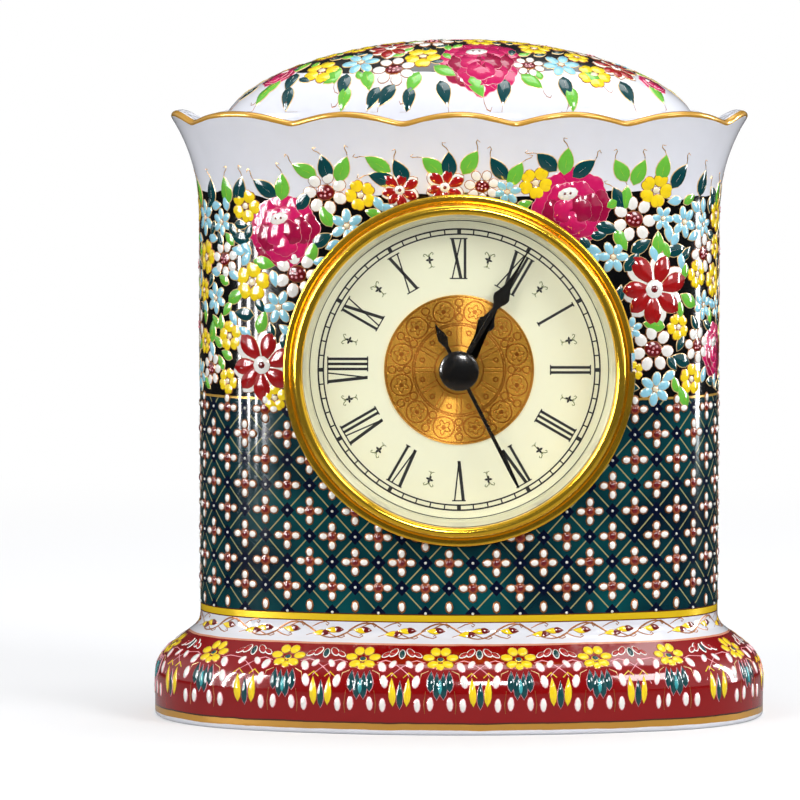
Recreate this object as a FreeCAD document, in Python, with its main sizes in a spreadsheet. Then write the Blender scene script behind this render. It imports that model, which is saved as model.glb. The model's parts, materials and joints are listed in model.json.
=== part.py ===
import FreeCAD, Part
import math
import os
import Sketcher
from FreeCAD import Placement, Rotation, Vector

# A porcelain mantel clock: one hollow slip-cast case with a fluted, scalloped rim and a dome, and a
# round quartz clock insert pushed from the front into a bore in the case. Millimetres, +Z up, the dial
# faces -Y, and the origin is the middle of the flat foot.

# Driving lengths of the porcelain case
CASE_LENGTHS = {
    "body_half_width": 68.0,
    "body_half_depth": 36.0,
    "wall": 4.0,
    "plinth_spread": 12.0,
    "plinth_side": 10.4,
    "plinth_bulge_radius": 10.0,
    "cove_radius": 4.0,
    "foot_bevel": 1.0,
    "foot_ring_width": 6.0,
    "foot_recess": 2.5,
    "floor_thickness": 4.0,
    "vent_radius": 6.0,
    "flare_over_dial": 37.4,
    "flare_rise": 27.6,
    "lip_spread": 7.9,
    "lip_thickness": 3.0,
    "lip_crown": 1.2,
    "flute_depth": 1.5,
    "scallop_lift": 2.4,
    "gutter_fall": 6.6,
    "gutter_inset": 1.0,
    "dome_inset": 6.6,
    "dome_foot_fall": 1.6,
    "dome_rise": 21.0,
    "dial_height": 92.6,
    "collar_radius": 44.4,
    "collar_proud": 1.0,
    "collar_depth": 15.0,
    "bore_radius": 41.7,
}

# Driving lengths of the insert: depths are measured backwards from the seat of the bezel
INSERT_LENGTHS = {
    "bezel_radius": 45.0,
    "bezel_seat_gap": 0.1,
    "bezel_edge_bevel": 0.6,
    "bezel_flange_front": 2.4,
    "bezel_groove_width": 0.7,
    "bezel_groove_depth": 0.7,
    "bezel_moulding_outer": 42.5,
    "bezel_moulding_round": 1.3,
    "bezel_crest": 7.2,
    "bezel_skirt_radius": 41.4,
    "bezel_crimp_radius": 40.3,
    "bezel_crimp": 0.4,
    "notch_width": 4.8,
    "notch_depth": 1.4,
    "stack_radius": 41.0,
    "fit_clearance": 0.05,
    "lens_edge_front": 4.4,
    "lens_thickness": 1.4,
    "lens_crown": 2.0,
    "gasket_thickness": 0.4,
    "reflector_front_radius": 39.9,
    "reflector_dial_radius": 38.5,
    "dial_depth": 2.1,
    "dial_thickness": 0.6,
    "dial_centre_radius": 19.2,
    "dial_centre_thickness": 0.3,
    "cup_floor": 1.5,
    "cup_flange": 2.2,
    "cup_radius": 38.8,
    "cup_wall": 1.3,
    "cup_length": 19.9,
    "grip_thickness": 1.2,
    "grip_length": 9.6,
    "grip_fin_width": 0.9,
    "grip_fin_pitch": 2.7,
}

# Driving lengths of the movement: depths continue backwards from the seat of the bezel
MOVEMENT_LENGTHS = {
    "movement_half": 27.75,
    "movement_corner": 5.0,
    "movement_wall": 1.2,
    "front_cover": 1.2,
    "movement_depth": 15.1,
    "rear_wall": 1.5,
    "layer_pitch": 1.6,
    "wheel_thickness": 0.8,
    "layer_start": 1.0,
    "pivot_radius": 0.35,
    "pivot_depth": 0.8,
    "running_clearance": 0.08,
    "seconds_arbor_radius": 0.45,
    "cannon_bore": 0.60,
    "cannon_radius": 1.30,
    "hour_tube_bore": 1.42,
    "hour_tube_radius": 2.10,
    "bush_bore": 2.20,
    "bush_radius": 4.0,
    "bush_front": 1.0,
    "third_distance": 8.925,
    "intermediate_distance": 7.56,
    "rotor_distance": 7.35,
    "minute_work_distance": 8.0,
    "battery_radius": 7.25,
    "battery_length": 50.5,
    "battery_button_radius": 2.75,
    "battery_button": 1.2,
    "battery_drop": 17.9,
    "battery_gap": 0.3,
    "contact_thickness": 0.4,
    "contact_width": 7.0,
    "contact_gap": 0.1,
    "bay_wall": 1.0,
    "screw_radius": 1.0,
    "screw_head_radius": 1.8,
    "screw_head": 0.8,
    "screw_bite": 1.0,
    "screw_boss_radius": 2.2,
    "screw_place_x": 22.6,
    "screw_place_top": 22.6,
    "screw_place_low": 6.4,
    "bridge_reach": 2.2,
    "pillar_radius": 1.3,
    "magnet_radius": 2.8,
    "magnet_length": 2.6,
    "magnet_gap": 0.35,
    "stator_thickness": 0.9,
    "stator_half_width": 4.7,
    "stator_leg": 2.6,
    "stator_splay": 3.9,
    "coil_rise": 11.8,
    "core_thickness": 1.0,
    "core_width": 2.6,
    "bobbin_length": 11.6,
    "bobbin_flange": 3.6,
    "bobbin_flange_thickness": 0.8,
    "winding_radius": 3.1,
    "board_left": 21.0,
    "board_width": 12.5,
    "board_low": 11.0,
    "board_tall": 9.6,
    "board_thickness": 1.0,
    "crystal_radius": 1.0,
    "crystal_length": 6.0,
    "chip_radius": 2.4,
    "chip_rise": 0.9,
    "set_shaft_radius": 1.1,
    "knob_radius": 5.5,
    "knob_gap": 0.3,
    "knob_length": 3.6,
    "knob_knurl": 0.5,
}

# Driving lengths of the hands: heights are measured forwards from the face of the dial
HAND_LENGTHS = {
    "hand_thickness": 0.4,
    "hour_hand_rise": 1.9,
    "minute_hand_rise": 3.1,
    "seconds_hand_rise": 4.3,
    "hour_hand_length": 25.0,
    "hour_bulge_at": 14.2,
    "hour_bulge_half": 2.3,
    "hour_stem_half": 0.7,
    "minute_hand_length": 35.7,
    "minute_bulge_at": 21.8,
    "minute_bulge_half": 2.15,
    "minute_stem_half": 0.65,
    "bulge_half_length": 2.9,
    "hub_radius": 3.4,
    "tip_half": 0.2,
    "seconds_hand_length": 33.6,
    "seconds_hand_half": 0.5,
    "seconds_tail_length": 13.7,
    "seconds_tail_bulge_at": 9.4,
    "seconds_tail_half": 1.3,
    "cap_radius": 5.15,
    "cap_rise": 1.5,
    "cap_edge": 0.5,
}

# Angles in degrees, clockwise from the top as seen from the front
INSERT_TURN_ANGLE = 30.0
NOTCH_ANGLE = 57.2
SECONDS_ANGLE = 123.0
THIRD_ANGLE = -90.0
INTERMEDIATE_ANGLE = 35.0
ROTOR_ANGLE = 70.0
MINUTE_WORK_ANGLE = -10.0
SET_ANGLE = -10.0

# Angles of the plan of the case, from the front towards the side
PLAN_JUNCTION_ANGLE = 22.0
DIP_ANGLES = (5.9, 17.8, 58.9, 90.0)
PLINTH_SLOPE_ANGLE = 52.0

# Shares of the sizes that they follow
FLARE_LEVEL_SHARES = (0.0, 0.35, 0.65, 0.85, 1.0)
LIP_SHARES = ((0.25, 0.8), (0.75, 0.8), (1.0, 0.0))
DOME_LEVEL_SHARES = (1.0, 0.975, 0.91, 0.79, 0.62, 0.42, 0.22, 0.06)
CAVITY_LEVEL_SHARES = (1.0, 0.9, 0.65, 0.3)
DOMED_SHARES = (0.35, 0.7)
DOME_POWER_SHARE = 0.62
GUTTER_SHARE = 0.55
HAND_NECK_SHARE = 0.42
TOOTH_ROOT_SHARE = 1.15
TOOTH_TIP_SHARE = 0.80
TOOTH_HALF_SHARES = (0.27, 0.215, 0.10)
PATTERN_FULL_TURN = 360.0

# Teeth of each wheel
TOOTH_COUNT = {
    "rotor": 6,
    "intermediate": 36,
    "intermediate_pinion": 6,
    "seconds": 30,
    "seconds_pinion": 6,
    "third": 45,
    "third_pinion": 6,
    "centre": 48,
    "cannon": 8,
    "minute_work": 24,
    "minute_work_pinion": 8,
    "hour": 32,
    "set": 8,
}
GRIP_FIN_COUNT = 3
MOULDING_STEP_COUNT = 4
KNOB_KNURL_COUNT = 12

doc = FreeCAD.newDocument("mantel_clock")
sheet = doc.addObject("Spreadsheet::Sheet", "Sizes")
nodes = {}


def fill_sheet(*tables):
    """Write each driving length to the sheet as text, with its name as alias."""
    row = 1
    for table in tables:
        for name, length in table.items():
            sheet.set(f"A{row}", name)
            sheet.set(f"B{row}", str(length))
            sheet.setAlias(f"B{row}", name)
            row += 1
    doc.recompute()


class Size:
    """A length of the sheet, or a sum of such lengths, as a number and as an expression."""

    def __init__(self, value, text):
        self.value = value
        self.text = text

    def __add__(self, other):
        return Size(self.value + other.value, f"({self.text} + {other.text})")

    def __sub__(self, other):
        return Size(self.value - other.value, f"({self.text} - {other.text})")

    def __mul__(self, factor):
        return Size(self.value * factor, f"({self.text} * {factor})")

    def __neg__(self):
        return self * -1


class Sizes:
    """Every alias of the sheet as a Size."""

    def __getattr__(self, name):
        return Size(float(sheet.get(name)), f"Sizes.{name}")


class Lengths:
    """Every alias of the sheet as a plain number, for shapes made by Part's functions."""

    def __getattr__(self, name):
        return float(sheet.get(name))


fill_sheet(CASE_LENGTHS, INSERT_LENGTHS, MOVEMENT_LENGTHS, HAND_LENGTHS)
size = Sizes()
mm = Lengths()
ZERO = size.wall * 0

# Heights of the upper case, which stand on the height of the dial
flare_start = mm.dial_height + mm.flare_over_dial
lip_height = flare_start + mm.flare_rise
gutter_height = lip_height - mm.gutter_fall
dome_foot = lip_height - mm.dome_foot_fall
dome_height = dome_foot + mm.dome_rise

# Depths behind the seat of the bezel, as sums of the driving lengths
lens_rear = size.lens_thickness - size.lens_edge_front
gasket_rear = lens_rear + size.gasket_thickness
dial_rear = size.dial_depth + size.dial_thickness
cup_floor_rear = dial_rear + size.cup_floor
cup_flange_rear = dial_rear + size.cup_flange
cup_rear = dial_rear + size.cup_length
cover_front = cup_floor_rear + size.running_clearance
cover_rear = cover_front + size.front_cover
box_rear = cover_rear + size.movement_depth
box_floor = box_rear - size.rear_wall
grip_front = cup_flange_rear + size.bezel_crimp + size.bezel_seat_gap * 3
battery_depth = cover_rear + size.battery_gap * 0.5 + size.battery_radius

# Heights of the hands before the seat of the bezel, and the ends of the tubes that carry them
hour_hand_rear = size.dial_depth - size.hour_hand_rise
minute_hand_rear = size.dial_depth - size.minute_hand_rise
seconds_hand_rear = size.dial_depth - size.seconds_hand_rise
hour_tube_front = hour_hand_rear - size.hand_thickness
cannon_front = minute_hand_rear - size.hand_thickness
seconds_arbor_front = seconds_hand_rear - size.hand_thickness


def layer_rear(index):
    """Depth of the rear face of the wheels of one layer, counted from the rear wall forwards."""
    return box_floor - size.layer_start - size.layer_pitch * index


def layer_front(index):
    """Depth of the front face of the wheels of one layer."""
    return layer_rear(index) - size.wheel_thickness


magnet_rear = layer_rear(2) + (size.magnet_length - size.stator_thickness) * 0.5
magnet_front = magnet_rear - size.magnet_length


def polar(distance, angle, start=(0.0, 0.0)):
    """A place (x, z) at a distance from another, at an angle clockwise from the top."""
    turn = math.radians(angle)
    return (start[0] + distance * math.sin(turn), start[1] + distance * math.cos(turn))


CENTRE_AXIS = (0.0, 0.0)
THIRD_AXIS = polar(mm.third_distance, THIRD_ANGLE)
INTERMEDIATE_AXIS = polar(mm.intermediate_distance, INTERMEDIATE_ANGLE)
ROTOR_AXIS = polar(mm.rotor_distance, ROTOR_ANGLE, INTERMEDIATE_AXIS)
MINUTE_WORK_AXIS = polar(mm.minute_work_distance, MINUTE_WORK_ANGLE)
SET_AXIS = polar(mm.minute_work_distance, SET_ANGLE, MINUTE_WORK_AXIS)

seat_depth = -(mm.body_half_depth + mm.collar_proud)
insert_frame = Placement(
    Vector(0, seat_depth, mm.dial_height), Rotation(Vector(0, 1, 0), INSERT_TURN_ANGLE)
)


def place(item, spot=(0.0, 0.0), turn=0.0, depth=0.0):
    """Put a piece in the insert, at a place (x, z), a depth and a turn of its own."""
    local = Placement(Vector(spot[0], depth, spot[1]), Rotation(Vector(0, 1, 0), turn))
    item.Placement = insert_frame.multiply(local)


def keep(item, name):
    """Name a finished piece as a node."""
    item.Label = name
    nodes[name] = item
    return item


def hidden_name(name):
    """A name for a helper object, apart from the node's own name."""
    return name + "_form"


# Sketch and solid helpers


def origin_plane(body, role):
    """The body's own origin plane with this role."""
    for feature in body.Origin.OriginFeatures:
        if feature.Role == role:
            return feature
    raise ValueError(f"no origin plane {role}")


def new_sketch(body, role, name, rear=None):
    """A sketch on one of the body's planes; rear sets its depth where the plane faces the front."""
    sketch = body.newObject("Sketcher::SketchObject", name)
    sketch.AttachmentSupport = (origin_plane(body, role), [""])
    sketch.MapMode = "FlatFace"
    if rear is not None:
        sketch.setExpression("AttachmentOffset.Base.z", (-rear).text)
    return sketch


def arc_between(start, end, radius, left):
    """The arc of a radius from start to end, with its centre on the left or right of the way."""
    chord = end.sub(start)
    middle = start.add(end).multiply(0.5)
    reach = math.sqrt(max(radius * radius - (chord.Length / 2) ** 2, 0.0))
    side = Vector(-chord.y, chord.x, 0).normalize()
    centre = middle.add(side.multiply(reach if left else -reach))
    first, last = (start, end) if left else (end, start)
    begin = math.atan2(first.y - centre.y, first.x - centre.x)
    finish = math.atan2(last.y - centre.y, last.x - centre.x)
    if finish < begin:
        finish += 2 * math.pi
    return Part.ArcOfCircle(Part.Circle(centre, Vector(0, 0, 1), radius), begin, finish)


def draw_outline(sketch, corners):
    """Draw a closed outline whose corners, and the radii of whose arcs, follow the sheet.

    A corner is (x, y) where a straight line arrives, or (x, y, radius, left) where an arc does.
    """
    ends = []
    for index, corner in enumerate(corners):
        before = corners[index - 1]
        start = Vector(before[0].value, before[1].value, 0)
        end = Vector(corner[0].value, corner[1].value, 0)
        if len(corner) == 2:
            edge = sketch.addGeometry(Part.LineSegment(start, end), False)
            ends.append((edge, 1, 2))
            continue
        edge = sketch.addGeometry(arc_between(start, end, corner[2].value, corner[3]), False)
        ends.append((edge, 1, 2) if corner[3] else (edge, 2, 1))
        bind(sketch, "Radius", (edge,), corner[2])
    for index, corner in enumerate(corners):
        edge, _, finish = ends[index]
        following, begin, _ = ends[(index + 1) % len(corners)]
        sketch.addConstraint(Sketcher.Constraint("Coincident", edge, finish, following, begin))
        for kind, axis, length in (("DistanceX", -2, corner[0]), ("DistanceY", -1, corner[1])):
            if length.value == 0:
                sketch.addConstraint(Sketcher.Constraint("PointOnObject", edge, finish, axis))
            else:
                bind(sketch, kind, (-1, 1, edge, finish), length)


def bind(sketch, kind, where, length):
    """Add a constraint whose value follows an expression of the sheet."""
    index = sketch.addConstraint(Sketcher.Constraint(kind, *where, length.value))
    sketch.setExpression(f"Constraints[{index}]", length.text)


def draw_circle(sketch, radius, x=None, y=None):
    """Draw a circle whose radius and centre follow the sheet."""
    x = x or ZERO
    y = y or ZERO
    centre = Vector(x.value, y.value, 0)
    edge = sketch.addGeometry(Part.Circle(centre, Vector(0, 0, 1), radius.value), False)
    bind(sketch, "Radius", (edge,), radius)
    for kind, axis, length in (("DistanceX", -2, x), ("DistanceY", -1, y)):
        if length.value == 0:
            sketch.addConstraint(Sketcher.Constraint("PointOnObject", edge, 3, axis))
        else:
            bind(sketch, kind, (-1, 1, edge, 3), length)


def turned(name, corners):
    """A body turned about the axis of the insert: corners are (radius, depth)."""
    body = doc.addObject("PartDesign::Body", name)
    sketch = new_sketch(body, "XY_Plane", name + "_profile")
    draw_outline(sketch, corners)
    turn = body.newObject("PartDesign::Revolution", name + "_turn")
    turn.Profile = sketch
    turn.ReferenceAxis = (sketch, ["V_Axis"])
    turn.Angle = PATTERN_FULL_TURN
    place(body)
    return keep(body, name)


def pad(body, name, rear, thickness, corners=None, circles=()):
    """Pad an outline, circles or both from a rear depth forwards."""
    sketch = new_sketch(body, "XZ_Plane", name + "_sketch", rear)
    if corners:
        draw_outline(sketch, corners)
    for circle in circles:
        draw_circle(sketch, *circle)
    feature = body.newObject("PartDesign::Pad", name + "_pad")
    feature.Profile = sketch
    feature.Length = thickness.value
    feature.setExpression("Length", thickness.text)
    return feature


def pocket(body, name, rear, depth, corners=None, circles=()):
    """Cut an outline, circles or both from a rear depth forwards."""
    sketch = new_sketch(body, "XZ_Plane", name + "_sketch", rear)
    if corners:
        draw_outline(sketch, corners)
    for circle in circles:
        draw_circle(sketch, *circle)
    feature = body.newObject("PartDesign::Pocket", name + "_pocket")
    feature.Profile = sketch
    feature.Reversed = True
    feature.Length = depth.value
    feature.setExpression("Length", depth.text)
    return feature


def rectangle(left, right, low, high):
    """Corners of a plain rectangle."""
    return [(left, low), (right, low), (right, high), (left, high)]


def rounded_square(half, corner):
    """Corners of a square with rounded corners, about the axis of the insert."""
    flat = half - corner
    return [
        (flat, -half),
        (half, -flat, corner, True),
        (half, flat),
        (flat, half, corner, True),
        (-flat, half),
        (-half, flat, corner, True),
        (-half, -flat),
        (-flat, -half, corner, True),
    ]


def rod(name, radius, rear, length):
    """A cylinder along the axis of the insert, from a rear depth forwards."""
    cylinder = doc.addObject("Part::Cylinder", name)
    cylinder.setExpression("Radius", radius.text)
    cylinder.setExpression("Height", length.text)
    cylinder.Placement = Placement(Vector(0, rear.value, 0), Rotation(Vector(1, 0, 0), 90))
    cylinder.setExpression("Placement.Base.y", rear.text)
    return cylinder


def joined(name, parts):
    """One solid out of several that touch or overlap."""
    union = doc.addObject("Part::MultiFuse", name)
    union.Shapes = parts
    union.Refine = True
    return union


def without(name, base, tool):
    """A solid less another."""
    cut = doc.addObject("Part::Cut", name)
    cut.Base = base
    cut.Tool = tool
    return cut


def shaped(name, shape):
    """A piece whose shape comes from Part's own functions."""
    feature = doc.addObject("Part::Feature", name)
    feature.Shape = shape
    return feature


# The porcelain case


def plan_arc(angle):
    """Centre (x, y) and radius of the arc of the body's plan whose normal has this angle."""
    half = math.tan(math.radians(PLAN_JUNCTION_ANGLE) / 2)
    end_radius = (mm.body_half_depth - half * mm.body_half_width) / (1 - half)
    reach = mm.body_half_width - end_radius
    fall = reach / math.tan(math.radians(PLAN_JUNCTION_ANGLE))
    front_radius = mm.body_half_depth + fall
    if math.cos(math.radians(angle)) > math.cos(math.radians(PLAN_JUNCTION_ANGLE)) - 1e-9:
        return 0.0, fall, front_radius
    if math.cos(math.radians(angle)) < 1e-9 - math.cos(math.radians(PLAN_JUNCTION_ANGLE)):
        return 0.0, -fall, front_radius
    return math.copysign(reach, math.sin(math.radians(angle))), 0.0, end_radius


def plan_point(angle, offset, height, scale=1.0):
    """The point of the plan whose normal has this angle, offset outwards and then scaled."""
    x, y, radius = plan_arc(angle)
    turn = math.radians(angle)
    out = radius + offset
    return Vector(
        scale * (x + out * math.sin(turn)), scale * (y - out * math.cos(turn)), height
    )


def plan_breaks():
    """Angles at which the plan is split: the dips of the scallops and the ends of its arcs."""
    quarter = sorted(DIP_ANGLES + (PLAN_JUNCTION_ANGLE,))
    half = quarter + [180 - angle for angle in reversed(quarter) if angle != 90]
    return half + [angle + 180 for angle in half]


def arc_length(angle):
    """Length along the plan from the middle of the front, for an angle up to a quarter turn."""
    _, _, front = plan_arc(0)
    _, _, end = plan_arc(90)
    first = min(angle, PLAN_JUNCTION_ANGLE)
    return math.radians(first) * front + math.radians(max(angle - first, 0)) * end


def swell(angle):
    """How far up a scallop this place lies: 0 in a dip and 1 in the middle of a lobe."""
    folded = abs((angle + 180) % 360 - 180)
    folded = min(folded, 180 - folded)
    dips = (-DIP_ANGLES[0],) + DIP_ANGLES
    for low, high in zip(dips, dips[1:]):
        if folded <= high + 1e-6:
            start = math.copysign(arc_length(abs(low)), low)
            share = (arc_length(folded) - start) / (arc_length(high) - start)
            return math.sin(math.pi * min(max(share, 0.0), 1.0))
    return 0.0


def plan_wire(offset, height, flute=0.0, lift=0.0, scale=1.0):
    """A closed wire round the plan, drawn in at the dips and lowered there."""
    breaks = plan_breaks()
    edges = []
    for index, start in enumerate(breaks):
        end = breaks[(index + 1) % len(breaks)]
        if end < start:
            end += 360
        points = []
        for angle in (start, (start + end) / 2, end):
            fall = 1 - swell(angle)
            points.append(plan_point(angle, offset - flute * fall, height - lift * fall, scale))
        edges.append(Part.Arc(*points).toShape())
    return Part.Wire(edges)


def plan_prism(offset, low, high):
    """A solid with the body's plan, offset outwards, between two heights."""
    face = Part.Face(plan_wire(offset, low))
    return face.extrude(Vector(0, 0, high - low))


def plan_sweep(profile):
    """Carry a profile round the plan; profile(angle) makes its face where the normal has that angle."""
    turn = PLAN_JUNCTION_ANGLE
    sectors = []
    for start, sweep in ((-turn, 2 * turn), (turn, 180 - 2 * turn)):
        for begin in (start, start + 180):
            x, y, _ = plan_arc(begin + sweep / 2)
            sectors.append(profile(begin, x, y).revolve(Vector(x, y, 0), Vector(0, 0, 1), sweep))
    return sectors[0].fuse(sectors[1:]).removeSplitter()


def wall_profile(angle, x, y):
    """The section of the case wall from the foot to the start of the flare."""
    _, _, radius = plan_arc(angle + 1)
    turn = math.radians(angle)

    def at(offset, height):
        out = radius + offset
        return Vector(x + out * math.sin(turn), y - out * math.cos(turn), height)

    def quarter(centre_offset, centre_height, arc_radius, start, end):
        points = []
        for share in (start, (start + end) / 2, end):
            tilt = math.radians(share)
            points.append(
                at(
                    centre_offset + arc_radius * math.cos(tilt),
                    centre_height + arc_radius * math.sin(tilt),
                )
            )
        return Part.Arc(*points).toShape()

    spread = mm.plinth_spread
    slope = PLINTH_SLOPE_ANGLE
    bulge = mm.plinth_bulge_radius
    cove = mm.cove_radius
    run = spread - (bulge + cove) * (1 - math.cos(math.radians(slope)))
    slope_height = run / math.tan(math.radians(slope))
    bulge_top = mm.plinth_side + bulge * math.sin(math.radians(slope))
    cove_low = bulge_top + slope_height
    cove_top = cove_low + cove * math.sin(math.radians(slope))
    inner = spread - mm.wall
    floor_top = mm.foot_recess + mm.floor_thickness
    foot_inner = spread - mm.foot_ring_width
    edges = [
        Part.LineSegment(at(foot_inner, 0), at(spread - mm.foot_bevel, 0)).toShape(),
        Part.LineSegment(at(spread - mm.foot_bevel, 0), at(spread, mm.foot_bevel)).toShape(),
        Part.LineSegment(at(spread, mm.foot_bevel), at(spread, mm.plinth_side)).toShape(),
        quarter(spread - bulge, mm.plinth_side, bulge, 0, slope),
        Part.LineSegment(
            at(spread - bulge * (1 - math.cos(math.radians(slope))), bulge_top),
            at(cove * (1 - math.cos(math.radians(slope))), cove_low),
        ).toShape(),
        quarter(cove, cove_top, cove, 180 + slope, 180),
        Part.LineSegment(at(0, cove_top), at(0, flare_start)).toShape(),
        Part.LineSegment(at(0, flare_start), at(-mm.wall, flare_start)).toShape(),
        Part.LineSegment(at(-mm.wall, flare_start), at(-mm.wall, cove_top)).toShape(),
        Part.LineSegment(at(-mm.wall, cove_top), at(inner, mm.plinth_side)).toShape(),
        Part.LineSegment(at(inner, mm.plinth_side), at(inner, floor_top)).toShape(),
        Part.LineSegment(at(inner, floor_top), at(foot_inner, floor_top)).toShape(),
        Part.LineSegment(at(foot_inner, floor_top), at(foot_inner, 0)).toShape(),
    ]
    return Part.Face(Part.Wire(edges))


def flare_wire(share):
    """The outline of the fluted flare at a share of its rise."""
    rise = lip_height - flare_start
    radius = (rise**2 + mm.lip_spread**2) / (2 * mm.lip_spread)
    climb = share * rise
    offset = radius - math.sqrt(radius**2 - climb**2)
    return plan_wire(
        offset,
        flare_start + climb,
        mm.flute_depth * share**1.5,
        mm.scallop_lift * share**2,
    )


def lip_wire(inset_share, crown):
    """A line round the lip, set in by a share of its thickness and raised by its crown."""
    return plan_wire(
        mm.lip_spread - mm.lip_thickness * inset_share,
        lip_height + crown,
        mm.flute_depth,
        mm.scallop_lift,
    )


def dome_level(share, top, foot):
    """Height of a dome where its plan has this share of its full size."""
    return foot + (top - foot) * (1 - share**2) ** DOME_POWER_SHARE


def dome_wire(share, inset, top, foot):
    """The outline of a dome at a share of its plan."""
    return plan_wire(-inset, dome_level(share, top, foot), scale=share)


def crown_solid():
    """The flare, its rolled lip, the gutter behind the lip and the dome, as one closed solid."""
    flare = [flare_wire(share) for share in FLARE_LEVEL_SHARES]
    lip = [lip_wire(share, mm.lip_crown * crown) for share, crown in LIP_SHARES]
    inner_lip = lip[-1]
    gutter_middle = plan_wire(
        mm.lip_spread * GUTTER_SHARE - mm.lip_thickness * GUTTER_SHARE,
        gutter_height + (lip_height - gutter_height) * (1 - GUTTER_SHARE),
        mm.flute_depth * GUTTER_SHARE,
        mm.scallop_lift * GUTTER_SHARE,
    )
    gutter = plan_wire(-mm.gutter_inset, gutter_height)
    dome = [
        dome_wire(share, mm.dome_inset, dome_height, dome_foot)
        for share in DOME_LEVEL_SHARES
    ]
    shells = [
        Part.makeLoft(flare, False),
        Part.makeLoft([flare[-1]] + lip, False, True),
        Part.makeLoft([inner_lip, gutter_middle, gutter] + dome, False, True),
    ]
    faces = [face for shell in shells for face in shell.Faces]
    faces.append(Part.Face(flare[0]))
    faces.append(Part.Face(dome[-1]))
    shell = Part.makeShell(faces)
    shell.sewShape()
    solid = Part.makeSolid(shell)
    if solid.Volume < 0:
        solid.reverse()
    return solid


def cavity_solid():
    """The hollow under the gutter and the dome, joined to the hollow of the body."""
    shelf = gutter_height - mm.wall
    inset = mm.dome_inset + mm.wall
    top = dome_height - mm.wall
    lower = plan_prism(-mm.wall, flare_start, shelf)
    neck = plan_prism(-inset, flare_start, dome_foot)
    wires = [dome_wire(share, inset, top, dome_foot) for share in CAVITY_LEVEL_SHARES]
    return lower.fuse([neck, Part.makeLoft(wires, True, True)])


def collar_solid(radius):
    """A cylinder on the axis of the bore, from the seat of the bezel inwards."""
    return Part.makeCylinder(
        radius,
        mm.collar_depth,
        Vector(0, seat_depth, mm.dial_height),
        Vector(0, 1, 0),
    )


def make_case():
    """The whole porcelain casting."""
    wall = plan_sweep(wall_profile)
    floor = plan_prism(
        mm.plinth_spread - mm.foot_ring_width,
        mm.foot_recess,
        mm.foot_recess + mm.floor_thickness,
    )
    vent = Part.makeCylinder(
        mm.vent_radius, mm.foot_recess + mm.floor_thickness + mm.wall, Vector(0, 0, 0)
    )
    crown = crown_solid().cut(cavity_solid())
    shell = wall.fuse([floor.cut(vent), crown, collar_solid(mm.collar_radius)])
    keep(shaped("porcelain_case", shell.cut(collar_solid(mm.bore_radius)).removeSplitter()), "porcelain_case")


# The insert: bezel, lens and dial


def moulding_corners():
    """The half round of the bezel's moulding, from its outer to its inner side, in short straights."""
    middle = size.bezel_moulding_outer - size.bezel_moulding_round
    level = size.bezel_moulding_round - size.bezel_crest
    corners = []
    for step in range(MOULDING_STEP_COUNT + 1):
        turn = math.pi * step / MOULDING_STEP_COUNT
        across = size.bezel_moulding_round * math.cos(turn)
        corners.append((middle + across, level - size.bezel_moulding_round * math.sin(turn)))
    return corners


def notch_corners():
    """Corners of the pry notch in the edge of the bezel."""
    turn = math.radians(NOTCH_ANGLE)
    half = size.notch_width * 0.5
    inner = size.bezel_radius - size.notch_depth
    outer = size.bezel_radius + size.notch_depth
    return [
        (
            reach * math.sin(turn) + half * (side * math.cos(turn)),
            reach * math.cos(turn) - half * (side * math.sin(turn)),
        )
        for reach, side in ((inner, 1), (outer, 1), (outer, -1), (inner, -1))
    ]


def make_bezel():
    """The brass bezel: flange with a groove, rounded moulding, and a skirt crimped behind the cup."""
    gap = -size.bezel_seat_gap
    flange = -size.bezel_flange_front
    groove = flange + size.bezel_groove_depth
    edge = size.bezel_radius
    moulding = size.bezel_moulding_outer
    lip = moulding - size.bezel_moulding_round * 2
    rabbet = -size.lens_edge_front - size.fit_clearance * 4
    crimp = cup_flange_rear + size.fit_clearance
    bezel = turned(
        "bezel",
        [
            (size.bezel_skirt_radius, gap),
            (edge, gap),
            (edge, flange + size.bezel_edge_bevel),
            (edge - size.bezel_edge_bevel, flange),
            (moulding + size.bezel_groove_width, flange),
            (moulding + size.bezel_groove_width, groove),
            (moulding, groove),
            *moulding_corners(),
            (lip, rabbet),
            (size.stack_radius, rabbet),
            (size.stack_radius, crimp),
            (size.bezel_crimp_radius, crimp),
            (size.bezel_crimp_radius, crimp + size.bezel_crimp),
            (size.bezel_skirt_radius, crimp + size.bezel_crimp),
        ],
    )
    pocket(bezel, "notch", ZERO, size.bezel_flange_front, notch_corners())
    place(bezel)


def domed(edge, base, crown):
    """Corners of a low dome from its middle to its edge, with a flat middle and bevelled rings."""
    corners = [(ZERO, base - crown * (1 - DOMED_SHARES[0] ** 2))]
    for share in DOMED_SHARES:
        corners.append((edge * share, base - crown * (1 - share**2)))
    return corners + [(edge, base)]


def make_lens():
    """The domed glass."""
    edge = size.stack_radius - size.fit_clearance
    front = domed(edge, -size.lens_edge_front, size.lens_crown)
    rear = domed(edge, lens_rear, size.lens_crown)
    turned("lens", rear + list(reversed(front)))


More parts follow.
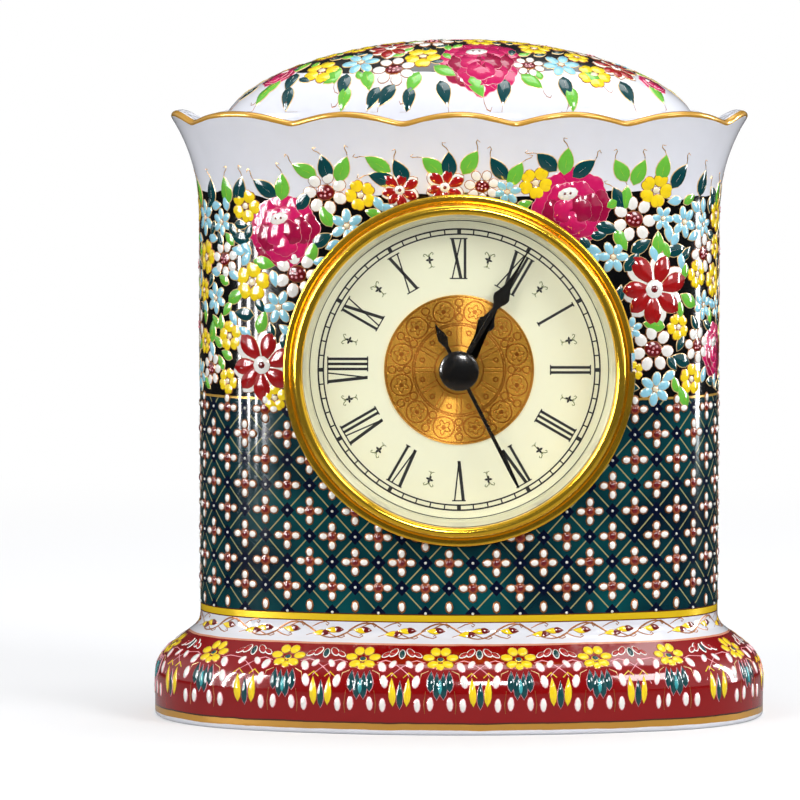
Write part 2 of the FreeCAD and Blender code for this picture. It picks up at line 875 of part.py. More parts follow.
def make_dial_stack():
    """The gasket, the sloping reflector ring, the dial and its embossed centre."""
    edge = size.stack_radius - size.fit_clearance
    turned(
        "lens_gasket",
        [
            (size.reflector_front_radius, lens_rear),
            (edge, lens_rear),
            (edge, gasket_rear),
            (size.reflector_front_radius, gasket_rear),
        ],
    )
    turned(
        "reflector_ring",
        [
            (size.reflector_front_radius, gasket_rear),
            (edge, gasket_rear),
            (edge, size.dial_depth),
            (size.reflector_dial_radius, size.dial_depth),
        ],
    )
    hole = size.bush_radius + size.fit_clearance
    turned(
        "dial_plate",
        [
            (hole, size.dial_depth),
            (edge, size.dial_depth),
            (edge, dial_rear),
            (hole, dial_rear),
        ],
    )
    face = size.dial_depth - size.dial_centre_thickness
    turned(
        "dial_centre",
        [
            (hole, face),
            (size.dial_centre_radius, face),
            (size.dial_centre_radius, size.dial_depth),
            (hole, size.dial_depth),
        ],
    )


def screw_places():
    """Where the four screws of the movement stand."""
    across = size.screw_place_x
    return [
        (across, size.screw_place_top),
        (-across, size.screw_place_top),
        (across, -size.screw_place_low),
        (-across, -size.screw_place_low),
    ]


def make_cup():
    """The black cup behind the dial, open to the rear, with holes for the bush and the screws."""
    inner = size.cup_radius - size.cup_wall
    hole = size.bush_radius + size.fit_clearance
    edge = size.stack_radius - size.fit_clearance
    cup = turned(
        "movement_cup",
        [
            (hole, dial_rear),
            (edge, dial_rear),
            (edge, cup_flange_rear),
            (size.cup_radius, cup_flange_rear),
            (size.cup_radius, cup_rear),
            (inner, cup_rear),
            (inner, cup_floor_rear),
            (hole, cup_floor_rear),
        ],
    )
    circles = [(size.screw_radius, x, z) for x, z in screw_places()]
    pocket(cup, "cup_screw_holes", cup_floor_rear, size.cup_floor, circles=circles)
    place(cup)


def make_grip_ring():
    """The rubber ring whose fins hold the insert in the bore."""
    inner = size.cup_radius + size.fit_clearance
    web = inner + size.grip_thickness
    fin = size.bore_radius - size.fit_clearance
    corners = [(inner, grip_front), (web, grip_front)]
    for index in range(GRIP_FIN_COUNT):
        front = grip_front + size.grip_fin_pitch * (index + 0.5)
        corners += [(web, front), (fin, front + size.grip_fin_width), (web, front + size.grip_fin_width)]
    corners += [
        (web, grip_front + size.grip_length),
        (inner, grip_front + size.grip_length),
    ]
    turned("grip_ring", corners)


# The movement: covers, screws and electrics


def boss(name, spot, radius, front, rear):
    """A round boss at a place (x, z) between two depths."""
    cylinder = rod(name, radius, rear, rear - front)
    cylinder.Placement.Base = Vector(spot[0], rear.value, spot[1])
    return cylinder


def make_front_cover():
    """The movement's front plate, with the centre bush, pivot bosses and the minute wheel's post."""
    body = doc.addObject("PartDesign::Body", "front_plate")
    pad(
        body,
        "front_plate",
        cover_rear,
        size.front_cover,
        rounded_square(size.movement_half, size.movement_corner),
    )
    clear = size.running_clearance
    pivot = size.pivot_radius + clear
    third_end = layer_front(4) - clear * 2
    rotor_end = magnet_front - clear * 2
    set_end = layer_front(5) - clear * 2
    post_end = layer_front(4) - clear * 2
    step_end = layer_front(6) - clear * 2
    whole = joined(
        "front_solid",
        [
            body,
            rod("bush", size.bush_radius, cover_rear, cover_rear - size.bush_front),
            boss("third_boss", THIRD_AXIS, size.pillar_radius, cover_front, third_end),
            boss("rotor_boss", ROTOR_AXIS, size.pillar_radius, cover_front, rotor_end),
            boss("set_boss", SET_AXIS, size.pillar_radius * 1.5, cover_front, set_end),
            boss("minute_step", MINUTE_WORK_AXIS, size.pillar_radius, cover_front, step_end),
            boss("minute_post", MINUTE_WORK_AXIS, size.pivot_radius * 2, cover_front, post_end),
        ],
    )
    set_pivot = size.pivot_radius * 2 + clear
    holes = [
        rod("bush_hole", size.bush_bore, cover_rear + clear, cover_rear - size.bush_front + clear * 2),
        boss("third_hole", THIRD_AXIS, pivot, third_end - size.pivot_depth * 1.5, third_end + clear),
        boss("rotor_hole", ROTOR_AXIS, pivot, rotor_end - size.pivot_depth * 1.5, rotor_end + clear),
        boss("set_hole", SET_AXIS, set_pivot, set_end - size.pivot_depth * 1.5, set_end + clear),
    ]
    for index, (x, z) in enumerate(screw_places()):
        spot = (x.value, z.value)
        holes.append(
            boss(f"front_screw_{index}", spot, size.screw_radius, cover_front - clear, cover_rear + clear)
        )
    cover = without("movement_front", whole, joined("front_holes", holes))
    place(cover)
    keep(cover, "movement_front")


def make_rear_cover():
    """The box of the movement, with the open battery bay, pillars, pivot holes and screw bosses."""
    inner = size.movement_half - size.movement_wall
    clear = size.running_clearance
    body = doc.addObject("PartDesign::Body", "rear_box")
    pad(
        body,
        "rear_block",
        box_rear,
        size.movement_depth,
        rounded_square(size.movement_half, size.movement_corner),
    )
    doc.recompute()
    pocket(
        body,
        "rear_hollow",
        box_floor,
        size.movement_depth - size.rear_wall,
        rounded_square(inner, size.movement_corner - size.movement_wall),
    )
    battery_high = size.battery_radius - size.battery_drop + size.battery_gap * 0.5
    battery_low = -size.battery_radius - size.battery_drop - size.battery_gap * 0.5
    pad(
        body,
        "bay_wall",
        box_floor,
        size.movement_depth - size.rear_wall,
        rectangle(-inner, inner, battery_high, battery_high + size.bay_wall),
    )
    pad(
        body,
        "screw_bosses",
        box_floor,
        size.movement_depth - size.rear_wall,
        circles=[(size.screw_boss_radius, x, z) for x, z in screw_places()],
    )
    reach = size.battery_length * 0.5 + size.contact_gap
    pocket(body, "bay_window", box_rear, size.rear_wall, rectangle(-reach, reach, battery_low, battery_high))
    pocket(
        body,
        "screw_holes",
        box_rear,
        size.movement_depth,
        circles=[(size.screw_radius, x, z) for x, z in screw_places()],
    )
    pivot = size.pivot_radius + clear
    pillar_front = layer_front(2) - size.layer_pitch + size.wheel_thickness
    pillars = [
        boss(f"pillar_{index}", spot, size.pillar_radius, pillar_front, box_rear - size.rear_wall * 0.5)
        for index, spot in enumerate(pillar_places())
    ]
    hole_end = box_floor + size.pivot_depth + clear
    holes = [
        boss("centre_pivot_hole", CENTRE_AXIS, pivot, box_floor - clear, hole_end),
        boss("third_pivot_hole", THIRD_AXIS, pivot, box_floor - clear, hole_end),
        boss("rotor_pivot_hole", ROTOR_AXIS, pivot, box_floor - clear, hole_end),
        boss(
            "inter_pivot_hole",
            INTERMEDIATE_AXIS,
            pivot,
            box_floor - clear,
            box_floor + size.pivot_depth + clear,
        ),
        boss("shaft_hole", SET_AXIS, size.set_shaft_radius + clear, box_floor - clear, box_rear + clear),
    ]
    whole = joined("rear_solid", [body] + pillars)
    cover = without("movement_rear", whole, joined("rear_holes", holes))
    place(cover)
    keep(cover, "movement_rear")


def pillar_places():
    """Where the pillars of the bridge stand, clear of every wheel."""
    return [
        (mm.third_distance * 1.2, -mm.minute_work_distance * 0.6),
        (-mm.third_distance * 2.05, -mm.minute_work_distance * 0.45),
        (-mm.third_distance * 0.32, mm.minute_work_distance * 1.5),
    ]


def rounded_hull(places, reach):
    """A flat face round a few places, this far out from them, with rounded corners."""
    points = [Vector(x, 0, z) for x, z in places]
    edges = []
    for index, point in enumerate(points):
        before = points[index - 1]
        after = points[(index + 1) % len(points)]
        into = point.sub(before).normalize()
        away = after.sub(point).normalize()
        first = point.add(Vector(-into.z, 0, into.x) * reach)
        last = point.add(Vector(-away.z, 0, away.x) * reach)
        middle = Vector(-into.z - away.z, 0, into.x + away.x).normalize() * reach
        edges.append(Part.Arc(first, point.add(middle), last).toShape())
        away_end = after.add(Vector(-away.z, 0, away.x) * reach)
        edges.append(Part.LineSegment(last, away_end).toShape())
    return Part.Face(Part.Wire(edges))


def round_hole(spot, radius, length):
    """A cylinder for a hole through a plate of this length, centred on depth zero."""
    return Part.makeCylinder(radius, 3 * length, Vector(spot[0], -length, spot[1]), Vector(0, 1, 0))


def make_bridge():
    """The plate inside the movement that carries the front pivot of the intermediate wheel."""
    first, second, third = pillar_places()
    plate = rounded_hull([second, third, INTERMEDIATE_AXIS, first], mm.bridge_reach)
    thickness = mm.wheel_thickness
    solid = plate.extrude(Vector(0, thickness, 0))
    clear = mm.running_clearance
    for spot, radius in (
        (CENTRE_AXIS, mm.seconds_arbor_radius + clear),
        (THIRD_AXIS, mm.seconds_arbor_radius + clear),
        (INTERMEDIATE_AXIS, mm.pivot_radius + clear),
    ):
        solid = solid.cut(round_hole(spot, radius, thickness))
    bridge = shaped("train_bridge", solid)
    place(bridge, depth=layer_front(3).value)
    keep(bridge, "train_bridge")


def make_screws():
    """Four screws alike, in one node, from the rear of the movement into the floor of the cup."""
    shanks = []
    for index, (x, z) in enumerate(screw_places()):
        spot = (x.value, z.value)
        tip = cup_floor_rear - size.screw_bite
        shanks.append(boss(f"shank_{index}", spot, size.screw_radius, tip, box_rear))
        head_end = box_rear + size.screw_head
        shanks.append(boss(f"head_{index}", spot, size.screw_head_radius, box_rear, head_end))
    screws = joined("movement_screws", shanks)
    place(screws)
    keep(screws, "movement_screws")


def make_battery():
    """The cell and its positive button, lying across the movement in the bay."""
    half = mm.battery_length / 2
    depth = battery_depth.value
    can = doc.addObject("Part::Cylinder", hidden_name("battery"))
    button = doc.addObject("Part::Cylinder", hidden_name("battery_terminal"))
    can.setExpression("Radius", size.battery_radius.text)
    can.setExpression("Height", (size.battery_length - size.battery_button).text)
    button.setExpression("Radius", size.battery_button_radius.text)
    button.setExpression("Height", size.battery_button.text)
    for item, left in ((can, -half), (button, half - mm.battery_button)):
        local = Placement(Vector(left, depth, -mm.battery_drop), Rotation(Vector(0, 1, 0), 90))
        item.Placement = insert_frame.multiply(local)
    keep(can, "battery")
    keep(button, "battery_terminal")


def contact_profile(side):
    """A bent strip: an upright against the end of the cell and a foot turned under the bay's wall."""
    face = size.battery_length * 0.5 + size.contact_gap
    back = face + size.contact_thickness
    inner = size.movement_half - size.movement_wall
    high = battery_depth + size.contact_width * 0.5
    low = cover_rear + size.running_clearance
    points = [(face, high), (face, low), (inner, low), (inner, low + size.contact_thickness)]
    points += [(back, low + size.contact_thickness), (back, high)]
    return [(x * side, y) for x, y in points]


def make_contacts():
    """The two spring contacts at the ends of the battery bay."""
    for name, side in (("contact_positive", 1), ("contact_negative", -1)):
        body = doc.addObject("PartDesign::Body", name)
        sketch = new_sketch(body, "XY_Plane", name + "_sketch")
        sketch.setExpression("AttachmentOffset.Base.z", (-size.battery_drop).text)
        draw_outline(sketch, contact_profile(side))
        strip = body.newObject("PartDesign::Pad", name + "_pad")
        strip.Profile = sketch
        strip.setExpression("Length", size.contact_width.text)
        strip.Midplane = True
        place(body)
        keep(body, name)


def make_board():
    """The circuit board with its crystal and its clock chip."""
    body = doc.addObject("PartDesign::Body", "circuit_board")
    rear = box_floor - size.fit_clearance
    left = -size.board_left
    right = left + size.board_width
    high = size.board_low + size.board_tall
    pad(body, "board", rear, size.board_thickness, rectangle(left, right, size.board_low, high))
    place(body)
    keep(body, "circuit_board")
    face = rear - size.board_thickness
    crystal = doc.addObject("Part::Cylinder", hidden_name("quartz_crystal"))
    crystal.setExpression("Radius", size.crystal_radius.text)
    crystal.setExpression("Height", size.crystal_length.text)
    start = left.value + mm.board_width / 4
    seat = face.value - mm.crystal_radius
    level = mm.board_low + mm.board_tall * 0.8
    local = Placement(Vector(start, seat, level), Rotation(Vector(0, 1, 0), 90))
    crystal.Placement = insert_frame.multiply(local)
    keep(crystal, "quartz_crystal")
    drop = turned(
        "clock_chip",
        [
            (ZERO, face - size.chip_rise),
            (size.chip_radius * 0.6, face - size.chip_rise * 0.8),
            (size.chip_radius, face),
            (ZERO, face),
        ],
    )
    place(drop, (left.value + mm.board_width * 0.5, mm.board_low + mm.board_tall * 0.35))


def make_coil():
    """The motor's coil: bobbin, winding, core and the stator plate round the magnet."""
    x, z = ROTOR_AXIS
    middle = x
    level = z + mm.coil_rise
    half = mm.bobbin_length / 2
    flange = mm.bobbin_flange
    thin = mm.bobbin_flange_thickness
    stator_rear = layer_rear(2).value
    stator_front = stator_rear - mm.stator_thickness
    core_front = stator_front - mm.core_thickness
    bobbin_depth = (stator_front + core_front) / 2
    start = Vector(middle - half, bobbin_depth, level)
    cheeks = [
        Part.makeBox(thin, 2 * flange, 2 * flange, start.add(Vector(shift, -flange, -flange)))
        for shift in (0, 2 * half - thin)
    ]
    barrel = Part.makeCylinder(mm.winding_radius * 0.65, 2 * half, start, Vector(1, 0, 0))
    clear = mm.fit_clearance
    slot = Part.makeBox(
        4 * half,
        mm.core_thickness + 2 * clear,
        mm.core_width + 2 * clear,
        Vector(middle - 2 * half, core_front - clear, level - mm.core_width / 2 - clear),
    )
    spool = barrel.fuse(cheeks).cut(slot)
    ring = Part.makeCylinder(
        mm.winding_radius, 2 * half - 2 * thin, start.add(Vector(thin, 0, 0)), Vector(1, 0, 0)
    )
    leg_reach = mm.stator_half_width + mm.stator_splay
    core = Part.makeBox(
        2 * leg_reach,
        mm.core_thickness,
        mm.core_width,
        Vector(middle - leg_reach, core_front, level - mm.core_width / 2),
    )
    wide = mm.stator_half_width
    leg = mm.stator_leg
    fork = z + wide
    top = level + mm.core_width / 2
    outline = [
        (middle - wide, z - wide),
        (middle + wide, z - wide),
        (middle + wide, fork - leg),
        (middle + leg_reach, fork - leg),
        (middle + leg_reach, top),
        (middle + leg_reach - leg, top),
        (middle + leg_reach - leg, fork),
        (middle - leg_reach + leg, fork),
        (middle - leg_reach + leg, top),
        (middle - leg_reach, top),
        (middle - leg_reach, fork - leg),
        (middle - wide, fork - leg),
    ]
    points = [Vector(px, stator_front, pz) for px, pz in outline]
    plate = Part.Face(Part.makePolygon(points + points[:1])).extrude(Vector(0, mm.stator_thickness, 0))
    bore = Part.makeCylinder(
        mm.magnet_radius + mm.magnet_gap,
        3 * mm.stator_thickness,
        Vector(x, stator_front - mm.stator_thickness, z),
        Vector(0, 1, 0),
    )
    for name, shape in (
        ("coil_bobbin", spool),
        ("coil_winding", ring.cut(barrel)),
        ("coil_core", core),
        ("stator", plate.cut(bore)),
    ):
        piece = shaped(name, shape)
        place(piece)
        keep(piece, name)


# The gear train


def gear_face(teeth, module, phase):
    """A toothed outline about the origin, with the middle of one tooth at an angle from the top."""
    pitch = 360 / teeth
    root = module * (teeth / 2 - TOOTH_ROOT_SHARE)
    middle = module * teeth / 2
    tip = module * (teeth / 2 + TOOTH_TIP_SHARE)
    root_half, pitch_half, tip_half = TOOTH_HALF_SHARES
    flank = ((root, -root_half), (middle, -pitch_half), (tip, -tip_half))
    tooth = flank + tuple((radius, -half) for radius, half in reversed(flank))
    points = []
    for index in range(int(teeth)):
        for radius, half in tooth:
            x, z = polar(radius, phase + (index + half) * pitch)
            points.append(Vector(x, 0, z))
    return Part.Face(Part.makePolygon(points + points[:1]))


def wheel_solid(teeth, module, phase, front, rear):
    """A toothed wheel between two depths."""
    gear = gear_face(teeth, module, phase)
    gear.translate(Vector(0, front.value, 0))
    return gear.extrude(Vector(0, rear.value - front.value, 0))


def shaft(radius, front, rear):
    """A plain round shaft between two depths."""
    return Part.makeCylinder(
        radius, rear.value - front.value, Vector(0, front.value, 0), Vector(0, 1, 0)
    )


def meshed_phase(teeth, spot, other_teeth, other_phase, other_spot):
    """The angle of one tooth of a wheel that is in mesh with another wheel."""
    towards = math.degrees(math.atan2(spot[0] - other_spot[0], spot[1] - other_spot[1]))
    other_pitch = 360 / other_teeth
    beyond = ((towards - other_phase) / other_pitch) % 1
    return towards + 180 - (0.5 - beyond) * 360 / teeth


def keep_wheel(name, parts, spot):
    """Join the pieces of a wheel and put it at its place in the movement."""
    whole = parts[0]
    if len(parts) > 1:
        whole = whole.fuse(parts[1:]).removeSplitter()
    wheel = shaped(name, whole)
    place(wheel, spot)
    keep(wheel, name)


def make_train():
    """Every wheel from the motor to the two main hands, in mesh."""
    teeth = TOOTH_COUNT
    rear_pivot = box_floor + size.pivot_depth
    inter_module = 2 * mm.intermediate_distance / (teeth["seconds"] + teeth["intermediate_pinion"])
    rotor_module = 2 * mm.rotor_distance / (teeth["rotor"] + teeth["intermediate"])
    third_module = 2 * mm.third_distance / (teeth["third"] + teeth["seconds_pinion"])
    centre_module = 2 * mm.third_distance / (teeth["third_pinion"] + teeth["centre"])
    work_module = 2 * mm.minute_work_distance / (teeth["cannon"] + teeth["minute_work"])
    hour_module = 2 * mm.minute_work_distance / (teeth["minute_work_pinion"] + teeth["hour"])

    seconds_phase = 0.0
    keep_wheel(
        "seconds_wheel",
        [
            wheel_solid(teeth["seconds"], inter_module, seconds_phase, layer_front(1), layer_rear(1)),
            wheel_solid(teeth["seconds_pinion"], third_module, 0.0, layer_front(2), layer_front(1)),
            shaft(mm.pivot_radius, layer_rear(1), rear_pivot),
            shaft(mm.seconds_arbor_radius, seconds_arbor_front, layer_front(2)),
        ],
        CENTRE_AXIS,
    )
    inter_pinion_phase = meshed_phase(
        teeth["intermediate_pinion"], INTERMEDIATE_AXIS, teeth["seconds"], seconds_phase, CENTRE_AXIS
    )
    keep_wheel(
        "intermediate_wheel",
        [
            wheel_solid(teeth["intermediate"], rotor_module, 0.0, layer_front(0), layer_rear(0)),
            wheel_solid(
                teeth["intermediate_pinion"], inter_module, inter_pinion_phase, layer_front(1), layer_front(0)
            ),
            shaft(mm.pivot_radius, layer_rear(0), rear_pivot),
            shaft(mm.pivot_radius, layer_front(3), layer_front(1)),
        ],
        INTERMEDIATE_AXIS,
    )
    rotor_phase = meshed_phase(
        teeth["rotor"], ROTOR_AXIS, teeth["intermediate"], 0.0, INTERMEDIATE_AXIS
    )
    keep_wheel(
        "rotor_pinion",
        [
            wheel_solid(teeth["rotor"], rotor_module, rotor_phase, layer_front(0), layer_rear(0)),
            shaft(mm.pivot_radius, layer_rear(0), rear_pivot),
            shaft(mm.pivot_radius, magnet_front - size.pivot_depth, layer_front(0)),
        ],
        ROTOR_AXIS,
    )
    magnet = shaft(mm.magnet_radius, magnet_front, magnet_rear)
    keep_wheel("rotor_magnet", [magnet.cut(shaft(mm.pivot_radius, magnet_front, magnet_rear))], ROTOR_AXIS)

    third_phase = meshed_phase(teeth["third"], THIRD_AXIS, teeth["seconds_pinion"], 0.0, CENTRE_AXIS)
    keep_wheel(
        "third_wheel",
        [
            wheel_solid(teeth["third"], third_module, third_phase, layer_front(2), layer_rear(2)),
            shaft(mm.seconds_arbor_radius, layer_rear(4), layer_front(2)),
            wheel_solid(teeth["third_pinion"], centre_module, 0.0, layer_front(4), layer_rear(4)),
            shaft(mm.pivot_radius, layer_rear(2), rear_pivot),
            shaft(mm.pivot_radius, layer_front(4) - size.pivot_depth, layer_front(4)),
        ],
        THIRD_AXIS,
    )
    centre_phase = meshed_phase(teeth["centre"], CENTRE_AXIS, teeth["third_pinion"], 0.0, THIRD_AXIS)
    clear = mm.running_clearance
    keep_wheel(
        "centre_wheel",
        [
            wheel_solid(teeth["centre"], centre_module, centre_phase, layer_front(4), layer_rear(4)).cut(
                shaft(mm.cannon_radius + clear, layer_front(4), layer_rear(4))
            )
        ],
        CENTRE_AXIS,
    )
    cannon = shaft(mm.cannon_radius, cannon_front, layer_rear(4)).fuse(
        wheel_solid(teeth["cannon"], work_module, 0.0, layer_front(5), layer_rear(5))
    )
    keep_wheel(
        "cannon_pinion",
        [cannon.cut(shaft(mm.cannon_bore, cannon_front, layer_rear(4)))],
        CENTRE_AXIS,
    )
    work_phase = meshed_phase(teeth["minute_work"], MINUTE_WORK_AXIS, teeth["cannon"], 0.0, CENTRE_AXIS)
    work = wheel_solid(teeth["minute_work"], work_module, work_phase, layer_front(5), layer_rear(5)).fuse(
        wheel_solid(teeth["minute_work_pinion"], hour_module, 0.0, layer_front(6), layer_front(5))
    )
    keep_wheel(
        "minute_wheel",
        [work.cut(shaft(mm.pivot_radius * 2 + clear, layer_front(6), layer_rear(5)))],
        MINUTE_WORK_AXIS,
    )
    hour_phase = meshed_phase(teeth["hour"], CENTRE_AXIS, teeth["minute_work_pinion"], 0.0, MINUTE_WORK_AXIS)
    hour = wheel_solid(teeth["hour"], hour_module, hour_phase, layer_front(6), layer_rear(6)).fuse(
        shaft(mm.hour_tube_radius, hour_tube_front, layer_rear(6))
    )
    keep_wheel(
        "hour_wheel",
        [hour.cut(shaft(mm.hour_tube_bore, hour_tube_front, layer_rear(6)))],
        CENTRE_AXIS,
    )
    set_phase = meshed_phase(teeth["set"], SET_AXIS, teeth["minute_work"], work_phase, MINUTE_WORK_AXIS)
    knob_front = box_rear + size.knob_gap
    keep_wheel(
        "set_pinion",
        [
            wheel_solid(teeth["set"], work_module, set_phase, layer_front(5), layer_rear(5)),
            shaft(mm.set_shaft_radius, layer_rear(5), knob_front),
            shaft(mm.pivot_radius * 2, layer_front(5) - size.pivot_depth, layer_front(5)),
        ],
        SET_AXIS,
    )
    knob = shaft(mm.knob_radius, knob_front, knob_front + size.knob_length)
    for index in range(KNOB_KNURL_COUNT):
        spot = polar(mm.knob_radius, index * PATTERN_FULL_TURN / KNOB_KNURL_COUNT)
        groove = shaft(mm.knob_knurl, knob_front, knob_front + size.knob_length)
        groove.translate(Vector(spot[0], 0, spot[1]))
        knob = knob.cut(groove)
    keep_wheel("set_knob", [knob], SET_AXIS)


# The hands


def spade_outline(length, bulge_at, bulge_half, stem_half):
    """One side of a pear-shaped hand, from the hub to the tip: straight stem, bulge and long point."""
    swell_start = bulge_at - mm.bulge_half_length
    swell_end = bulge_at + mm.bulge_half_length
    neck = bulge_half * HAND_NECK_SHARE
    return [
        ("line", [(stem_half, 0), (stem_half, swell_start)]),
        ("arc", [(stem_half, swell_start), (bulge_half, bulge_at), (neck, swell_end)]),
        ("line", [(neck, swell_end), (mm.tip_half, length)]),
    ]


def mirrored_face(side, length):
    """A flat face out of one side of a hand and its mirror image."""
    edges = []
    for sign in (1, -1):
        for kind, points in side:
            ends = [Vector(sign * x, 0, z) for x, z in points]
            if kind == "line":
                edges.append(Part.LineSegment(*ends).toShape())
            else:
                edges.append(Part.Arc(*ends).toShape())
    base = side[0][1][0][0]
    edges.append(Part.LineSegment(Vector(-base, 0, 0), Vector(base, 0, 0)).toShape())
    tip = side[-1][1][-1][0]
    edges.append(Part.LineSegment(Vector(tip, 0, length), Vector(-tip, 0, length)).toShape())
    return Part.Face(Part.Wire(Part.__sortEdges__(edges)))


def hand_solid(face, hub_radius, bore_radius):
    """A flat hand with a round hub, bored for its tube."""
    thick = Vector(0, mm.hand_thickness, 0)
    blade = face.extrude(thick)
    hub = Part.makeCylinder(hub_radius, mm.hand_thickness, Vector(0, 0, 0), Vector(0, 1, 0))
    bore = Part.makeCylinder(bore_radius, mm.hand_thickness, Vector(0, 0, 0), Vector(0, 1, 0))
    return blade.fuse(hub).cut(bore)


def make_hands():
    """The hour, minute and seconds hands, and the domed cap over the hub."""
    hour = spade_outline(mm.hour_hand_length, mm.hour_bulge_at, mm.hour_bulge_half, mm.hour_stem_half)
    hour_hand = hand_solid(mirrored_face(hour, mm.hour_hand_length), mm.hub_radius, mm.hour_tube_radius)
    minute = spade_outline(
        mm.minute_hand_length, mm.minute_bulge_at, mm.minute_bulge_half, mm.minute_stem_half
    )
    minute_hand = hand_solid(
        mirrored_face(minute, mm.minute_hand_length), mm.hub_radius, mm.cannon_radius
    )
    half = mm.seconds_hand_half
    bar = Part.makeBox(
        2 * half, mm.hand_thickness, mm.seconds_hand_length, Vector(-half, 0, 0)
    )
    tail_side = [
        ("line", [(half, 0), (half, mm.cap_radius)]),
        ("arc", [(half, mm.cap_radius), (mm.seconds_tail_half, mm.seconds_tail_bulge_at),
                 (mm.tip_half, mm.seconds_tail_length)]),
    ]
    tail = mirrored_face(tail_side, mm.seconds_tail_length).extrude(Vector(0, mm.hand_thickness, 0))
    tail.rotate(Vector(0, 0, 0), Vector(0, 1, 0), PATTERN_FULL_TURN / 2)
    hub = Part.makeCylinder(mm.hub_radius, mm.hand_thickness, Vector(0, 0, 0), Vector(0, 1, 0))
    bore = Part.makeCylinder(
        mm.seconds_arbor_radius, mm.hand_thickness, Vector(0, 0, 0), Vector(0, 1, 0)
    )
    seconds_hand = bar.fuse([tail, hub]).cut(bore)
    for name, shape, front, angle in (
        ("hour_hand", hour_hand, hour_tube_front, 0.0),
        ("minute_hand", minute_hand, cannon_front, 0.0),
        ("seconds_hand", seconds_hand, seconds_arbor_front, SECONDS_ANGLE),
    ):
        piece = shaped(name, shape)
        place(piece, turn=angle, depth=front.value)
        keep(piece, name)
    dome_front = seconds_arbor_front - size.cap_edge
    crown = domed(size.cap_radius, dome_front, size.cap_rise)
    turned("seconds_cap", [(ZERO, seconds_arbor_front)] + crown + [(size.cap_radius, seconds_arbor_front)])


def check_and_write():
    """Stop on any failed object or bad shape, then write one file for each node."""
    doc.recompute()
    failed = [item.Name for item in doc.Objects if {"Invalid", "Error"} & set(item.State)]
    if failed:
        raise RuntimeError(f"failed objects: {failed}")
    os.makedirs("parts", exist_ok=True)
    for name, item in nodes.items():
        if item.Label != name:
            raise RuntimeError(f"{name} has the label {item.Label}")
        if item.Shape.isNull() or not item.Shape.isValid() or item.Shape.Volume <= 0:
            raise RuntimeError(f"{name}: bad shape")
    for name, item in nodes.items():
        item.Shape.exportStep(f"parts/{name}.step")


make_case()
make_bezel()
make_lens()
make_dial_stack()
make_cup()
make_grip_ring()
make_front_cover()
make_rear_cover()
make_bridge()
make_screws()
make_battery()
make_contacts()
make_board()
make_coil()
make_train()
make_hands()
check_and_write()
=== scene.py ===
"""Looks of a gilded five-colour porcelain mantel clock with a push-in quartz insert.

The case with its raised enamel flowers, the insert with its dial and hands, the coil's wire and a small
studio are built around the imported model. Shapes are worked out in millimetres and stored in metres.
"""
import json
import logging
import math
import random
from bisect import bisect_right
from dataclasses import dataclass, field
from enum import Enum
from typing import Callable, Dict, List, Optional, Sequence, Tuple

import bmesh
import bpy
from mathutils import Matrix, Vector


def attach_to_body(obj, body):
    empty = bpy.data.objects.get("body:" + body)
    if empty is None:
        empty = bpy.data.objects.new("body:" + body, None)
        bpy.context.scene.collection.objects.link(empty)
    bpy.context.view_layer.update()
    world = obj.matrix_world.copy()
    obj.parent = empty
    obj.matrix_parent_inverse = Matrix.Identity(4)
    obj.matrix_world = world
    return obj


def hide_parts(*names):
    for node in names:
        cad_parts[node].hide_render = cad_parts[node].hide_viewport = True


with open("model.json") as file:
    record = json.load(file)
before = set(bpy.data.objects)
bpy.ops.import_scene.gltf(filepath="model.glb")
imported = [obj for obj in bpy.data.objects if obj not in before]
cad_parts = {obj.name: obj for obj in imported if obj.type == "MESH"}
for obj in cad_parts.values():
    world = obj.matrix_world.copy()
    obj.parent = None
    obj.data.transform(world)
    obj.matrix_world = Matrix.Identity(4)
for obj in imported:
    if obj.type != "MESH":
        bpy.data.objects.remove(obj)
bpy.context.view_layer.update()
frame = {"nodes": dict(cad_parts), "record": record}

MM = 0.001
SUNK = -0.03
DIAL_HEIGHT = 92.6
Pair = Tuple[float, float]
Triple = Tuple[float, float, float]
Colour = Tuple[float, float, float, float]
Outline = List[Pair]
Thing = bpy.types.Object
Socket = bpy.types.NodeSocket
log = logging.getLogger("clock")


def srgb(red: float, green: float, blue: float) -> Colour:
    """Turn a display colour in steps of 0 to 255 into the renderer's linear colour.

    Args:
        red: Red step.
        green: Green step.
        blue: Blue step.

    Returns:
        The linear colour with full alpha.
    """
    shares = [step / 255.0 for step in (red, green, blue)]
    linear = [s / 12.92 if s <= 0.04045 else ((s + 0.055) / 1.055) ** 2.4 for s in shares]
    return (linear[0], linear[1], linear[2], 1.0)


def lerp(low: float, high: float, share: float) -> float:
    """Return the value at a share of the way from low to high."""
    return low + (high - low) * share


def heading(turn: float, length: float = 1.0) -> Pair:
    """Return the move across and up of a length at an angle clockwise from up, in degrees."""
    angle = math.radians(turn)
    return length * math.sin(angle), length * math.cos(angle)


def circle(count: int) -> List[float]:
    """Return evenly spaced angles once round, in radians."""
    return [math.tau * index / count for index in range(count)]


def linked(name: str, data: bpy.types.ID) -> Thing:
    """Return a new object in the scene that shows this data."""
    thing = bpy.data.objects.new(name, data)
    bpy.context.collection.objects.link(thing)
    return thing


def attach(piece: Thing, body: str, node: str = "") -> None:
    """Let a piece ride on its body, and stand for a CAD node if one is named."""
    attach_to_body(piece, body)
    if node:
        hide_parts(node)
    log.info("%s: %d faces", piece.name, len(piece.data.polygons))


# ---------------------------------------------------------------- nodes


